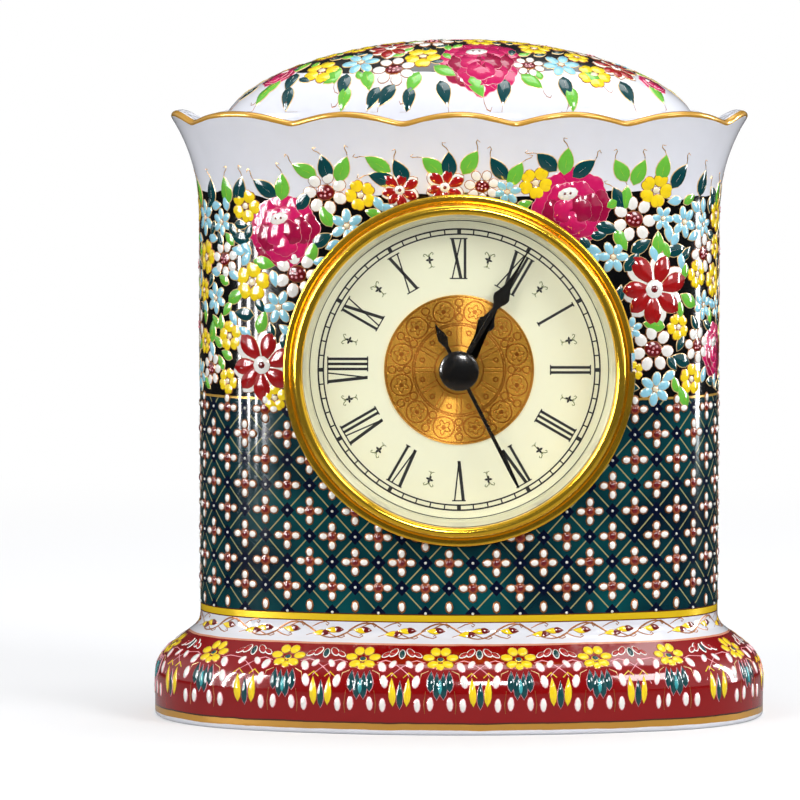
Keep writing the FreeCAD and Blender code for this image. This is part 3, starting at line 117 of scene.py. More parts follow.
class NodeKit:
    """Shorthand for adding nodes to one tree."""

    def __init__(self, tree: bpy.types.NodeTree) -> None:
        """Work in this node tree."""
        self.tree = tree

    @classmethod
    def start(cls, name: str) -> Tuple[bpy.types.Material, "NodeKit"]:
        material = bpy.data.materials.new(name)
        material.use_nodes = True
        return material, cls(material.node_tree)

    def feed(self, node: bpy.types.Node, values: Dict[object, object]) -> None:
        """Link a node's sockets, named or numbered, to outputs, or set their plain values."""
        for name, value in values.items():
            if isinstance(value, Socket):
                self.tree.links.new(value, node.inputs[name])
            else:
                node.inputs[name].default_value = value

    def add(self, kind: str, values: Optional[Dict[object, object]] = None, **options: object) -> bpy.types.Node:
        """Add a node with its options and feed its sockets.

        Args:
            kind: Blender's name of the node's type.
            values: What goes into its sockets.
            options: Settings of the node itself.

        Returns:
            The new node.
        """
        node = self.tree.nodes.new(kind)
        for name, option in options.items():
            setattr(node, name, option)
        self.feed(node, values or {})
        return node

    def shade(self, values: Dict[object, object]) -> None:
        """Feed the sockets of the material's main shader."""
        self.feed(self.tree.nodes["Principled BSDF"], values)

    def math(self, operation: str, *values: object) -> Socket:
        """Return the result of one math node."""
        return self.add("ShaderNodeMath", dict(enumerate(values)), operation=operation).outputs[0]

    def most(self, first: object, *others: object) -> Socket:
        """Return the greatest of several values."""
        for other in others:
            first = self.math("MAXIMUM", first, other)
        return first

    def length(self, across: object, up: object) -> Socket:
        """Return the distance from the middle of a pattern."""
        squares = self.math("ADD", self.math("MULTIPLY", across, across), self.math("MULTIPLY", up, up))
        return self.math("SQRT", squares)

    def near(self, value: object, target: float, half: float) -> Socket:
        """Return 1 where a value lies near its target."""
        return self.math("LESS_THAN", self.math("ABSOLUTE", self.math("SUBTRACT", value, target)), half)

    def between(self, value: object, low: object, high: object) -> Socket:
        """Return 1 where a value lies between two limits."""
        return self.math("MULTIPLY", self.math("GREATER_THAN", value, low), self.math("LESS_THAN", value, high))

    def ramp(self, value: object, low: float, high: float) -> Socket:
        """Return 0 up to a low value, 1 from a high value and a smooth step between them."""
        values = {"Value": value, "From Min": low, "From Max": high}
        return self.add("ShaderNodeMapRange", values, interpolation_type="SMOOTHSTEP").outputs["Result"]

    def mix(self, share: object, low: object, high: object) -> Socket:
        """Return a colour mixed from two by a share."""
        return self.add("ShaderNodeMix", {0: share, 6: low, 7: high}, data_type="RGBA").outputs[2]

    def blend(self, share: object, low: Socket, high: Socket) -> Socket:
        """Return a shader mixed from two by a share."""
        return self.add("ShaderNodeMixShader", {0: share, 1: low, 2: high}).outputs[0]

    def glow(self, strength: float) -> Socket:
        """Return a plain white glow."""
        return self.add("ShaderNodeEmission", {"Strength": strength}).outputs[0]

    def split(self, vector: Socket) -> Sequence[Socket]:
        """Return the three parts of a vector."""
        return self.add("ShaderNodeSeparateXYZ", {0: vector}).outputs

    def noise(self, vector: Socket, scale: object, detail: float = 2.0) -> Socket:
        """Return a soft noise over the object."""
        values = {"Vector": vector, "Scale": scale, "Detail": detail}
        return self.add("ShaderNodeTexNoise", values).outputs["Fac"]

    def bump(self, height: Socket, strength: float, distance: float, invert: bool = False) -> None:
        """Raise the surface of the main shader by a height."""
        values = {"Height": height, "Strength": strength, "Distance": distance}
        self.shade({"Normal": self.add("ShaderNodeBump", values, invert=invert).outputs["Normal"]})

    def mottled(self, values: Dict[object, object]) -> Sequence[Socket]:
        """Return the colour, roughness and height that the mottled surface makes of these values."""
        return self.add("ShaderNodeGroup", values, node_tree=mottle_group()).outputs


def mottle_group() -> bpy.types.NodeTree:
    """Return the shared group that varies a colour, its roughness and its height with fine noise."""
    known = bpy.data.node_groups.get("mottled_surface")
    if known:
        return known
    group = bpy.data.node_groups.new("mottled_surface", "ShaderNodeTree")
    for name, value in (
        ("Color", (0.8, 0.8, 0.8, 1.0)), ("Scale", 300.0), ("Stretch", 1.0), ("Tone", 0.06),
        ("Roughness", 0.2), ("Spread", 0.05),
    ):
        kind = "NodeSocketColor" if name == "Color" else "NodeSocketFloat"
        group.interface.new_socket(name, in_out="INPUT", socket_type=kind).default_value = value
    for name in ("Color", "Roughness", "Height"):
        kind = "NodeSocketColor" if name == "Color" else "NodeSocketFloat"
        group.interface.new_socket(name, in_out="OUTPUT", socket_type=kind)
    kit = NodeKit(group)
    source = kit.add("NodeGroupInput").outputs
    pull = kit.add("ShaderNodeCombineXYZ", {0: 1.0, 1: 1.0, 2: source["Stretch"]}).outputs[0]
    place = kit.add("ShaderNodeTexCoord").outputs["Object"]
    stretched = kit.add("ShaderNodeVectorMath", {0: place, 1: pull}, operation="MULTIPLY").outputs[0]
    grain = kit.noise(stretched, source["Scale"], 3.0)
    centred = kit.math("SUBTRACT", grain, 0.5)
    tone = kit.math("MULTIPLY_ADD", centred, source["Tone"], 1.0)
    shade = kit.add("ShaderNodeVectorMath", {0: source["Color"], "Scale": tone}, operation="SCALE").outputs[0]
    rough = kit.math("MULTIPLY_ADD", centred, source["Spread"], source["Roughness"])
    kit.add("NodeGroupOutput", {"Color": shade, "Roughness": rough, "Height": grain})
    return group


# ---------------------------------------------------------------- viewpoint and studio


@dataclass(frozen=True)
class Viewpoint:
    """The photograph's camera: place and aim in metres, focal length in picture widths."""

    place: Triple = (0.0, -1.412, 0.174)
    aim: Triple = (-0.0155, 0.0, 0.0826)
    focal: float = 6.7375
    picture: float = 800.0
    sensor: float = 36.0

    def axes(self) -> Tuple[Vector, Vector, Vector]:
        """Return the camera's right, up and forward directions."""
        forward = (Vector(self.aim) - Vector(self.place)).normalized()
        right = forward.cross(Vector((0, 0, 1))).normalized()
        return right, right.cross(forward), forward

    def meet_depth(self, across: float, down: float, depth: float) -> Vector:
        """Return where the ray through a picture place (pixels) reaches a depth (millimetres, +Y)."""
        right, up, forward = self.axes()
        half = self.picture / 2
        ray = forward * self.focal * self.picture + right * (across - half) + up * (half - down)
        start = Vector(self.place) / MM
        return start + ray * ((depth - start.y) / ray.y)

    def build(self) -> None:
        """Create the camera and make it the scene's camera."""
        data = bpy.data.cameras.new("viewpoint")
        data.sensor_width = self.sensor
        data.lens = self.sensor * self.focal
        data.clip_start = 0.05
        data.clip_end = 60.0
        camera = linked("viewpoint", data)
        right, up, forward = self.axes()
        turn = Matrix((right, up, -forward)).transposed()
        camera.matrix_world = Matrix.Translation(Vector(self.place)) @ turn.to_4x4()
        bpy.context.scene.camera = camera


@dataclass(frozen=True)
class Lamp:
    """One soft panel light: place, aim and size in metres, strength in watts."""

    name: str
    place: Triple
    size: Pair
    watts: float
    aim: Triple = (0.0, 0.0, 0.09)
    mirror_only: bool = False
    in_mirrors: bool = True

    def build(self) -> None:
        """Create the panel light."""
        data = bpy.data.lights.new(self.name, "AREA")
        data.shape = "RECTANGLE"
        data.size, data.size_y = self.size
        data.energy = self.watts
        lamp = linked(self.name, data)
        lamp.location = self.place
        lamp.visible_diffuse = not self.mirror_only
        lamp.visible_glossy = self.in_mirrors
        back = Vector(self.place) - Vector(self.aim)
        lamp.rotation_euler = back.to_track_quat("Z", "Y").to_euler()


@dataclass
class Studio:
    """White surroundings, a pale floor that fades into them, and soft panel lights."""

    floor_reach: float = 30.0
    floor_lift: float = 0.27
    world_strength: float = 0.56
    mirror_strength: float = 0.06
    lamps: Tuple[Lamp, ...] = (
        Lamp("key_panel", (1.35, -1.15, 1.15), (0.7, 0.6), 18.0),
        Lamp("fill_panel", (-1.2, -1.3, 1.1), (0.9, 0.9), 13.0, in_mirrors=False),
        Lamp("top_panel", (0.2, 0.1, 1.6), (1.1, 1.1), 12.0),
        Lamp("strip_one", (-0.90, -0.82, 0.22), (0.03, 1.2), 9.0, mirror_only=True),
        Lamp("strip_two", (-0.99, -0.68, 0.22), (0.03, 1.2), 11.0, mirror_only=True),
        Lamp("strip_three", (-1.08, -0.52, 0.22), (0.035, 1.2), 12.0, mirror_only=True),
        Lamp("strip_four", (-1.17, -0.30, 0.22), (0.035, 1.2), 10.0, mirror_only=True),
        Lamp("strip_five", (1.16, 0.28, 0.22), (0.12, 1.2), 20.0, mirror_only=True),
        Lamp("disc_glint", (0.20, -1.5, 0.80), (0.3, 0.25), 16.0, mirror_only=True),
    )

    def light_surroundings(self) -> None:
        """Set the world: white for the camera, dark in front and pale above and beside in mirrors."""
        scene = bpy.context.scene
        scene.view_settings.view_transform = "Standard"
        scene.world = bpy.data.worlds.new("surroundings")
        scene.world.use_nodes = True
        scene.world.node_tree.nodes.clear()
        kit = NodeKit(scene.world.node_tree)
        path = kit.add("ShaderNodeLightPath").outputs
        across, _, up = kit.split(kit.add("ShaderNodeTexCoord").outputs["Generated"])
        above = kit.math("MULTIPLY_ADD", kit.ramp(up, 0.55, 0.95), 0.4, self.mirror_strength)
        beside = kit.ramp(kit.math("ABSOLUTE", across), 0.45, 0.85)
        sky, mirror, seen = (
            kit.add("ShaderNodeBackground", {"Color": colour, "Strength": strength}).outputs[0]
            for colour, strength in (
                ((0.96, 0.98, 1.0, 1.0), self.world_strength),
                ((0.92, 0.94, 0.96, 1.0), kit.math("MULTIPLY_ADD", beside, 0.65, above)),
                ((1.0, 1.0, 1.0, 1.0), 1.0),
            )
        )
        direct = kit.most(path["Is Camera Ray"], path["Is Transmission Ray"])
        shown = kit.blend(direct, kit.blend(path["Is Glossy Ray"], sky, mirror), seen)
        kit.add("ShaderNodeOutputWorld", {"Surface": shown})

    def lay_floor(self) -> None:
        """Lay the pale floor, which keeps the clock's shadow and turns white away from it."""
        reach = self.floor_reach
        mesh = bpy.data.meshes.new("floor")
        corners = [(-reach, -reach, 0), (reach, -reach, 0), (reach, reach, 0), (-reach, reach, 0)]
        mesh.from_pydata(corners, [], [(0, 1, 2, 3)])
        material, kit = NodeKit.start("floor_paint")
        kit.tree.nodes.clear()
        matte = kit.add("ShaderNodeBsdfDiffuse", {"Color": (0.62, 0.62, 0.63, 1.0)}).outputs[0]
        path = kit.add("ShaderNodeLightPath").outputs
        x, y, _ = kit.split(kit.add("ShaderNodeNewGeometry").outputs["Position"])
        away = kit.length(x, y)
        lifted = kit.add("ShaderNodeAddShader", {0: matte, 1: kit.glow(self.floor_lift)}).outputs[0]
        seen = kit.blend(kit.ramp(away, 0.35, 0.80), lifted, kit.glow(1.0))
        mirrored = kit.blend(kit.ramp(away, 0.10, 0.30), kit.glow(0.35), kit.glow(0.03))
        direct = kit.most(path["Is Camera Ray"], path["Is Transmission Ray"])
        shown = kit.blend(path["Is Glossy Ray"], kit.blend(direct, matte, seen), mirrored)
        kit.add("ShaderNodeOutputMaterial", {"Surface": shown})
        mesh.materials.append(material)
        linked("floor", mesh)

    def build(self) -> None:
        """Set up the surroundings, the floor and the lamps."""
        self.light_surroundings()
        self.lay_floor()
        for lamp in self.lamps:
            lamp.build()


# ---------------------------------------------------------------- finishes


@dataclass(frozen=True)
class Finish:
    """One material: colour, gloss and the fine variation of its surface."""

    name: str
    colour: Colour
    rough: float = 0.3
    metal: float = 0.0
    coat: float = 0.0
    scale: float = 400.0
    stretch: float = 1.0
    tone: float = 0.10
    spread: float = 0.08
    bump: float = 0.0
    transmission: float = 0.0
    ior: float = 1.5

    def build(self) -> bpy.types.Material:
        """Return the material, made on first use."""
        known = bpy.data.materials.get(self.name)
        if known:
            return known
        material, kit = NodeKit.start(self.name)
        vary = kit.mottled({
            "Color": self.colour, "Scale": self.scale, "Stretch": self.stretch, "Tone": self.tone,
            "Roughness": self.rough, "Spread": self.spread,
        })
        kit.shade({
            "Base Color": vary["Color"], "Roughness": vary["Roughness"], "Metallic": self.metal,
            "Coat Weight": self.coat, "Coat Roughness": 0.04, "IOR": self.ior,
            "Transmission Weight": self.transmission,
        })
        if self.bump:
            kit.bump(vary["Height"], self.bump, 0.0002)
        return material


def enamel(name: str, red: float, green: float, blue: float) -> Finish:
    """Return a raised glossy enamel of one colour."""
    return Finish(name, srgb(red, green, blue), rough=0.14, coat=0.5, scale=900.0, tone=0.22, bump=0.05)


def gilding(name: str, colour: Colour, metal: float, tone: float = 0.3, rough: float = 0.3) -> Finish:
    """Return a fired gold line."""
    return Finish(name, colour, rough=rough, metal=metal, scale=1500.0, tone=tone)


def print_ink(name: str, colour: Colour, tone: float = 0.3, rough: float = 0.45) -> Finish:
    """Return a flat printed colour."""
    return Finish(name, colour, rough=rough, scale=2500.0, tone=tone)


class Paint(Enum):
    """The painter's enamel colours, golds and inks."""

    GOLD = gilding("burnished_gold_line", srgb(214, 160, 78), 0.85, rough=0.28)
    BROWN = gilding("gold_brown_line", srgb(150, 88, 30), 0.35)
    SAND = gilding("sand_gold_line", srgb(226, 192, 132), 0.25, tone=0.25)
    WHITE = enamel("white_enamel", 244, 242, 236)
    CREAM = enamel("cream_enamel", 238, 224, 190)
    YELLOW = enamel("yellow_enamel", 250, 216, 24)
    RUST = enamel("rust_brown_enamel", 150, 66, 28)
    PINK = enamel("magenta_enamel", 205, 22, 96)
    CHERRY = enamel("deep_magenta_enamel", 158, 6, 62)
    ROSE = enamel("rose_enamel", 238, 160, 170)
    RED = enamel("red_enamel", 164, 16, 18)
    WINE = enamel("wine_red_enamel", 110, 12, 16)
    GREEN = enamel("leaf_green_enamel", 108, 190, 62)
    TEAL = enamel("dark_teal_enamel", 6, 66, 70)
    BLUE = enamel("pale_blue_enamel", 148, 210, 230)
    TURQUOISE = enamel("turquoise_enamel", 60, 170, 176)
    INK = print_ink("dial_ink", srgb(10, 10, 10))
    OLIVE = print_ink("olive_ink", srgb(96, 110, 20))
    SILVER = print_ink("chapter_white", srgb(226, 226, 214), 0.08, 0.4)


# ---------------------------------------------------------------- the shape of the case


@dataclass(frozen=True)
class CasePlan:
    """The oval of four arcs that the case follows, with angles clockwise from the front."""

    half_width: float = 68.0
    half_depth: float = 36.0
    junction: float = 22.0
    dips: Tuple[float, ...] = (5.9, 17.8, 58.9, 90.0)
    roundness: float = 0.02

    @property
    def end_radius(self) -> float:
        """Radius of the two end arcs."""
        half = math.tan(math.radians(self.junction) / 2)
        return (self.half_depth - half * self.half_width) / (1 - half)

    @property
    def front_radius(self) -> float:
        """Radius of the front and back arcs."""
        return self.half_depth + (self.half_width - self.end_radius) / math.tan(math.radians(self.junction))

    @property
    def front_reach(self) -> float:
        """Length along the plan from the middle of the front to the end of its arc."""
        return self.front_radius * math.radians(self.junction)

    @property
    def whole(self) -> float:
        """Length once round the plan."""
        return 4 * (self.front_reach + self.end_radius * math.radians(90 - self.junction))

    def arc(self, angle: float) -> Triple:
        """Return the centre and radius of the arc whose normal has this angle."""
        cosine = math.cos(math.radians(angle))
        limit = math.cos(math.radians(self.junction)) - 1e-9
        if abs(cosine) > limit:
            return 0.0, math.copysign(self.front_radius - self.half_depth, cosine), self.front_radius
        side = self.half_width - self.end_radius
        return math.copysign(side, math.sin(math.radians(angle))), 0.0, self.end_radius

    def point(self, angle: float, offset: float, scale: float = 1.0) -> Pair:
        """Return the plan's point at an angle, offset outwards and then scaled."""
        x, y, radius = self.arc(angle)
        out, forward = heading(angle, radius + offset)
        return scale * (x + out), scale * (y - forward)

    def reach(self, angle: float) -> float:
        """Return the length along the plan for an angle of up to a quarter turn."""
        first = min(angle, self.junction)
        return math.radians(first) * self.front_radius + math.radians(max(angle - first, 0.0)) * self.end_radius

    def angle_at(self, length: float) -> float:
        """Return the angle of the place at a length along the plan from the middle of the front."""
        along = (length + self.whole / 2) % self.whole - self.whole / 2
        side = math.copysign(1.0, along)
        along = abs(along)
        second = self.whole / 2 - self.front_reach
        if along <= self.front_reach:
            return side * math.degrees(along / self.front_radius)
        if along <= second:
            return side * (self.junction + math.degrees((along - self.front_reach) / self.end_radius))
        return side * (180 - self.junction + math.degrees((along - second) / self.front_radius))

    def swell(self, angle: float) -> float:
        """Return how far up a scallop a place lies: 0 in a dip, 1 in the middle of a lobe."""
        folded = abs((angle + 180) % 360 - 180)
        folded = min(folded, 180 - folded)
        dips = (-self.dips[0],) + self.dips
        for low, high in zip(dips, dips[1:]):
            if folded <= high + 1e-6:
                start = math.copysign(self.reach(abs(low)), low)
                share = (self.reach(folded) - start) / (self.reach(high) - start)
                wave = math.sin(math.pi * min(max(share, 0.0), 1.0))
                least = math.sqrt(self.roundness)
                return (math.sqrt(wave * wave + self.roundness) - least) / (math.sqrt(1 + self.roundness) - least)
        return 0.0


@dataclass
class CaseSkin:
    """The outside of the case from the foot to the top of the dome, in millimetres."""

    plan: CasePlan = field(default_factory=CasePlan)
    plinth_spread: float = 12.0
    plinth_side: float = 10.4
    bulge: float = 10.0
    cove: float = 4.0
    slope: float = 52.0
    foot_bevel: float = 1.0
    flare_start: float = 130.0
    lip_height: float = 157.6
    lip_spread: float = 7.9
    lip_thickness: float = 3.0
    flute: float = 1.5
    lift: float = 2.4
    gutter_height: float = 151.0
    dome_inset: float = 6.6
    dome_foot: float = 156.0
    dome_height: float = 177.0
    dome_power: float = 0.62
    dial_height: float = DIAL_HEIGHT
    insert_reach: float = 44.0

    def __post_init__(self) -> None:
        """Work out the section from the foot to the lip as a fine line of places."""
        spread, bevel, bulge, cove = self.plinth_spread, self.foot_bevel, self.bulge, self.cove
        places: List[Triple] = [(spread - bevel, 0.0, 0.0)]

        def bend(count: int, x: float, y: float, radius: float, first: float, last: float) -> None:
            """Add places along an arc between two tilts."""
            for step in range(1, count + 1):
                up, out = heading(lerp(first, last, step / count), radius)
                places.append((x + out, y + up, 0.0))

        def run(count: int, x: float, y: float) -> None:
            """Add places straight on to a new one."""
            start = places[-1]
            for step in range(1, count + 1):
                places.append((lerp(start[0], x, step / count), lerp(start[1], y, step / count), 0.0))

        bend(4, spread - bevel, bevel, bevel, -90.0, 0.0)
        run(12, spread, self.plinth_side)
        bend(24, spread - bulge, self.plinth_side, bulge, 0.0, self.slope)
        rise, drift = heading(self.slope)
        shoulder = (spread - (bulge + cove) * (1 - drift)) * drift / rise
        low = places[-1][1] + shoulder
        run(4, cove * (1 - drift), low)
        bend(8, cove, low + cove * rise, -cove, self.slope, 0.0)
        run(80, 0.0, self.flare_start)
        climb = self.lip_height - self.flare_start
        radius = (climb**2 + self.lip_spread**2) / (2 * self.lip_spread)
        for share in (step / 40 for step in range(1, 41)):
            out = radius - math.sqrt(radius**2 - (climb * share) ** 2)
            places.append((out, self.flare_start + climb * share, share))
        self.section = places
        self.lengths = [0.0]
        for one, two in zip(places, places[1:]):
            self.lengths.append(self.lengths[-1] + math.hypot(two[0] - one[0], two[1] - one[1]))
        self.edges = [self.find_edge(float(direction)) for direction in range(361)]

    def section_at(self, along: float) -> Triple:
        """Return offset, height and share of the flare at a length along the section."""
        lengths = self.lengths
        along = min(max(along, 0.0), lengths[-1])
        low = min(bisect_right(lengths, along), len(lengths) - 1) - 1
        share = (along - lengths[low]) / (lengths[low + 1] - lengths[low])
        one, two = self.section[low], self.section[low + 1]
        return lerp(one[0], two[0], share), lerp(one[1], two[1], share), lerp(one[2], two[2], share)

    def along_at(self, height: float) -> float:
        """Return the length along the section at a height."""
        levels = [place[1] for place in self.section]
        for one, two, length, after in zip(levels, levels[1:], self.lengths, self.lengths[1:]):
            if two >= height:
                return lerp(length, after, max(height - one, 0.0) / max(two - one, 1e-6))
        return self.lengths[-1]

    def raw(self, around: float, along: float) -> Vector:
        """Return the point of the side at a length round the plan and along the section."""
        angle = self.plan.angle_at(around)
        offset, height, share = self.section_at(along)
        if share > 0:
            fall = 1 - self.plan.swell(angle)
            offset -= self.flute * fall * share**1.5
            height -= self.lift * fall * share**2
        x, y = self.plan.point(angle, offset)
        return Vector((x, y, height))

    def normal(self, around: float, along: float) -> Vector:
        """Return the outward direction of the side."""
        step = 0.2
        across = self.raw(around + step, along) - self.raw(around - step, along)
        up = self.raw(around, along + step) - self.raw(around, along - step)
        return across.cross(up).normalized()

    def place(self, spot: Pair, move: Pair, lift: float) -> Vector:
        """Return the point at a small move from a spot on the side, lifted off the glaze."""
        offset, _, _ = self.section_at(spot[1])
        radius = self.plan.arc(self.plan.angle_at(spot[0]))[2]
        around = spot[0] + move[0] * radius / (radius + offset)
        along = spot[1] + move[1]
        return self.raw(around, along) + self.normal(around, along) * lift

    def apart(self, one: Pair, two: Pair) -> float:
        """Return the distance between two spots, the short way round."""
        gap = abs(one[0] - two[0]) % self.plan.whole
        return math.hypot(min(gap, self.plan.whole - gap), one[1] - two[1])

    def bare(self, spot: Pair, reach: float) -> bool:
        """Return whether a round space lies clear of the insert."""
        point = self.raw(*spot)
        away = math.hypot(point.x, point.z - self.dial_height)
        return point.y >= 0 or away >= self.insert_reach + reach * 0.35

    def spot_of(self, eye: Viewpoint, across: float, down: float) -> Pair:
        """Return the spot of the side that is seen at a picture place."""
        depth, around = -self.plan.half_depth, 0.0
        for _ in range(12):
            seen = eye.meet_depth(across, down, depth)
            low, high = -self.plan.whole / 4, self.plan.whole / 4
            for _ in range(24):
                around = (low + high) / 2
                if self.plan.point(self.plan.angle_at(around), 0.0)[0] < seen.x:
                    low = around
                else:
                    high = around
            depth = lerp(depth, self.plan.point(self.plan.angle_at(around), 0.0)[1], 0.6)
        return around, self.along_at(seen.z)

    def dome_edge(self, x: float, y: float) -> float:
        """Return how far the foot of the dome reaches in the direction of a place."""
        turn = math.degrees(math.atan2(x, -y)) % 360
        low = int(turn)
        return lerp(self.edges[low], self.edges[low + 1], turn - low)

    def find_edge(self, direction: float) -> float:
        """Work out how far the foot of the dome reaches in a direction."""
        low, high = direction - 60, direction + 60
        for _ in range(24):
            middle = (low + high) / 2
            x, y = self.plan.point(middle, -self.dome_inset)
            found = math.degrees(math.atan2(x, -y))
            found += 360 * round((direction - found) / 360)
            if found < direction:
                low = middle
            else:
                high = middle
        return math.hypot(*self.plan.point((low + high) / 2, -self.dome_inset))

    def dome_rise(self, share: float, wall: float = 0.0) -> float:
        """Return the height of the dome at a share of its plan, less a wall's thickness at the top."""
        high = self.dome_height - wall - self.dome_foot
        return self.dome_foot + high * max(1 - share**2, 0.0) ** self.dome_power

    def dome_level(self, x: float, y: float) -> float:
        """Return the height of the dome over a place."""
        return self.dome_rise(math.hypot(x, y) / self.dome_edge(x, y))


@dataclass
class DomeTop:
    """The dome as a surface to paint on: spots are places (x, y) of the plan."""

    skin: CaseSkin
    limit: float = 0.985

    def slope(self, x: float, y: float, step: float = 0.25) -> Pair:
        """Return how steeply the dome rises across and towards the back."""
        level = self.skin.dome_level
        across = level(x + step, y) - level(x - step, y)
        back = level(x, y + step) - level(x, y - step)
        return across / (2 * step), back / (2 * step)

    def place(self, spot: Pair, move: Pair, lift: float) -> Vector:
        """Return the point at a move from a spot, where up is towards the top of the dome."""
        x, y = spot
        slope_x, slope_y = self.slope(x, y)
        steep = math.hypot(slope_x, slope_y)
        up = (slope_x / steep, slope_y / steep) if steep > 0.03 else (0.0, 1.0)
        shrink = 1 / math.sqrt(1 + steep**2)
        x += up[1] * move[0] + up[0] * move[1] * shrink
        y += -up[0] * move[0] + up[1] * move[1] * shrink
        share = math.hypot(x, y) / self.skin.dome_edge(x, y)
        if share > self.limit:
            x, y = x * self.limit / share, y * self.limit / share
        rise_x, rise_y = self.slope(x, y)
        return Vector((x, y, self.skin.dome_level(x, y))) + Vector((-rise_x, -rise_y, 1.0)).normalized() * lift

    def apart(self, one: Pair, two: Pair) -> float:
        """Return the distance between two spots."""
        return math.dist(one, two)

    def bare(self, spot: Pair, reach: float) -> bool:
        """Return whether a round space may be painted, which the whole dome may."""
        return True

    def spot_of(self, eye: Viewpoint, across: float, down: float) -> Optional[Pair]:
        """Return the spot of the dome that is seen at a picture place, if there is one."""
        reach = self.skin.plan.half_depth - self.skin.dome_inset
        for step in range(200):
            depth = -reach + 2 * reach * step / 200
            seen = eye.meet_depth(across, down, depth)
            if abs(seen.x) < self.skin.plan.half_width and self.skin.dome_level(seen.x, depth) >= seen.z:
                if seen.z > self.skin.dome_foot + 0.3:
                    return seen.x, depth
        return None


@dataclass
class DialFace:
    """A flat face of the insert: spots are places (x, z) from the middle, turned with the insert."""

    depth: float
    height: float = DIAL_HEIGHT
    seat: float = -37.0
    turn: float = 30.0

    def place(self, spot: Pair, move: Pair, lift: float) -> Vector:
        """Return the point at a move from a spot, lifted towards the front."""
        ((x, z),) = turned([(spot[0] + move[0], spot[1] + move[1])], 0.0, self.height, self.turn)
        return Vector((x, self.seat + self.depth - lift, z))


# ---------------------------------------------------------------- painted relief


def turned(points: Sequence[Pair], x: float, y: float, turn: float) -> Outline:
    """Return points turned clockwise by degrees and moved to a place."""
    sine, cosine = heading(turn)
    return [(x + a * cosine + b * sine, y - a * sine + b * cosine) for a, b in points]


def oval(x: float, y: float, half_x: float, half_y: float, turn: float = 0.0, count: int = 10) -> Outline:
    """Return an oval, turned clockwise by degrees."""
    return turned([(half_x * math.cos(a), half_y * math.sin(a)) for a in circle(count)], x, y, turn)


def drop(
    x: float, y: float, length: float, half: float, turn: float, steps: int = 6, low: float = 1.35,
    full: float = 0.7,
) -> Outline:
    """Return a drop that starts narrow at a place and ends round.

    Args:
        x: Start, across.
        y: Start, up.
        length: Length from the start to the tip.
        half: Half the greatest width.
        turn: Direction in degrees clockwise from up.
        steps: Steps along each side.
        low: How far from the start the widest place lies.
        full: How thin the sides are near the ends.

    Returns:
        The closed outline.
    """
    right = [(0.0, 0.0)]
    for share in (step / steps for step in range(1, steps)):
        right.append((half * math.sin(math.pi * share**low) ** full, share * length))
    left = [(-a, b) for a, b in right[:0:-1]]
    return turned(right + [(0.0, length)] + left, x, y, turn)


def blade(x: float, y: float, length: float, half: float, turn: float, steps: int = 6) -> Outline:
    """Return a pointed leaf that starts at a place and runs at an angle clockwise from up."""
    return drop(x, y, length, half, turn, steps, 0.8, 0.85)


def scallop(x: float, y: float, half_x: float, half_y: float, turn: float, count: int = 24) -> Outline:
    """Return a petal whose outer edge has three round lobes."""
    points = []
    for angle in circle(count):
        swell = 1.0 + (0.16 * abs(math.cos(3 * angle)) if math.cos(angle) > -0.05 else 0.0)
        points.append((half_x * swell * math.sin(angle), half_y * swell * math.cos(angle)))
    return turned(points, x, y, turn)


def heart(x: float, y: float, half: float, turn: float, count: int = 14) -> Outline:
    """Return a round petal with a notch at its outer end, turned clockwise by degrees."""
    points = []
    for index, angle in enumerate(circle(count)):
        away = min(index, count - index) / count
        reach = half * (1.0 - 0.30 * math.exp(-((away / 0.07) ** 2)))
        points.append((-1.08 * reach * math.sin(angle), 1.05 * reach * math.cos(angle)))
    return turned(points, x, y, turn)


@dataclass
class Spot:
    """A place on a surface with its own turn and size, where motifs are drawn."""

    surface: object
    centre: Pair
    turn: float = 0.0
    grow: float = 1.0

    def put(self, point: Pair, lift: float) -> Vector:
        """Return the point in metres for a motif's own place."""
        ((x, y),) = turned([point], 0.0, 0.0, self.turn)
        return self.surface.place(self.centre, (self.grow * x, self.grow * y), lift) * MM


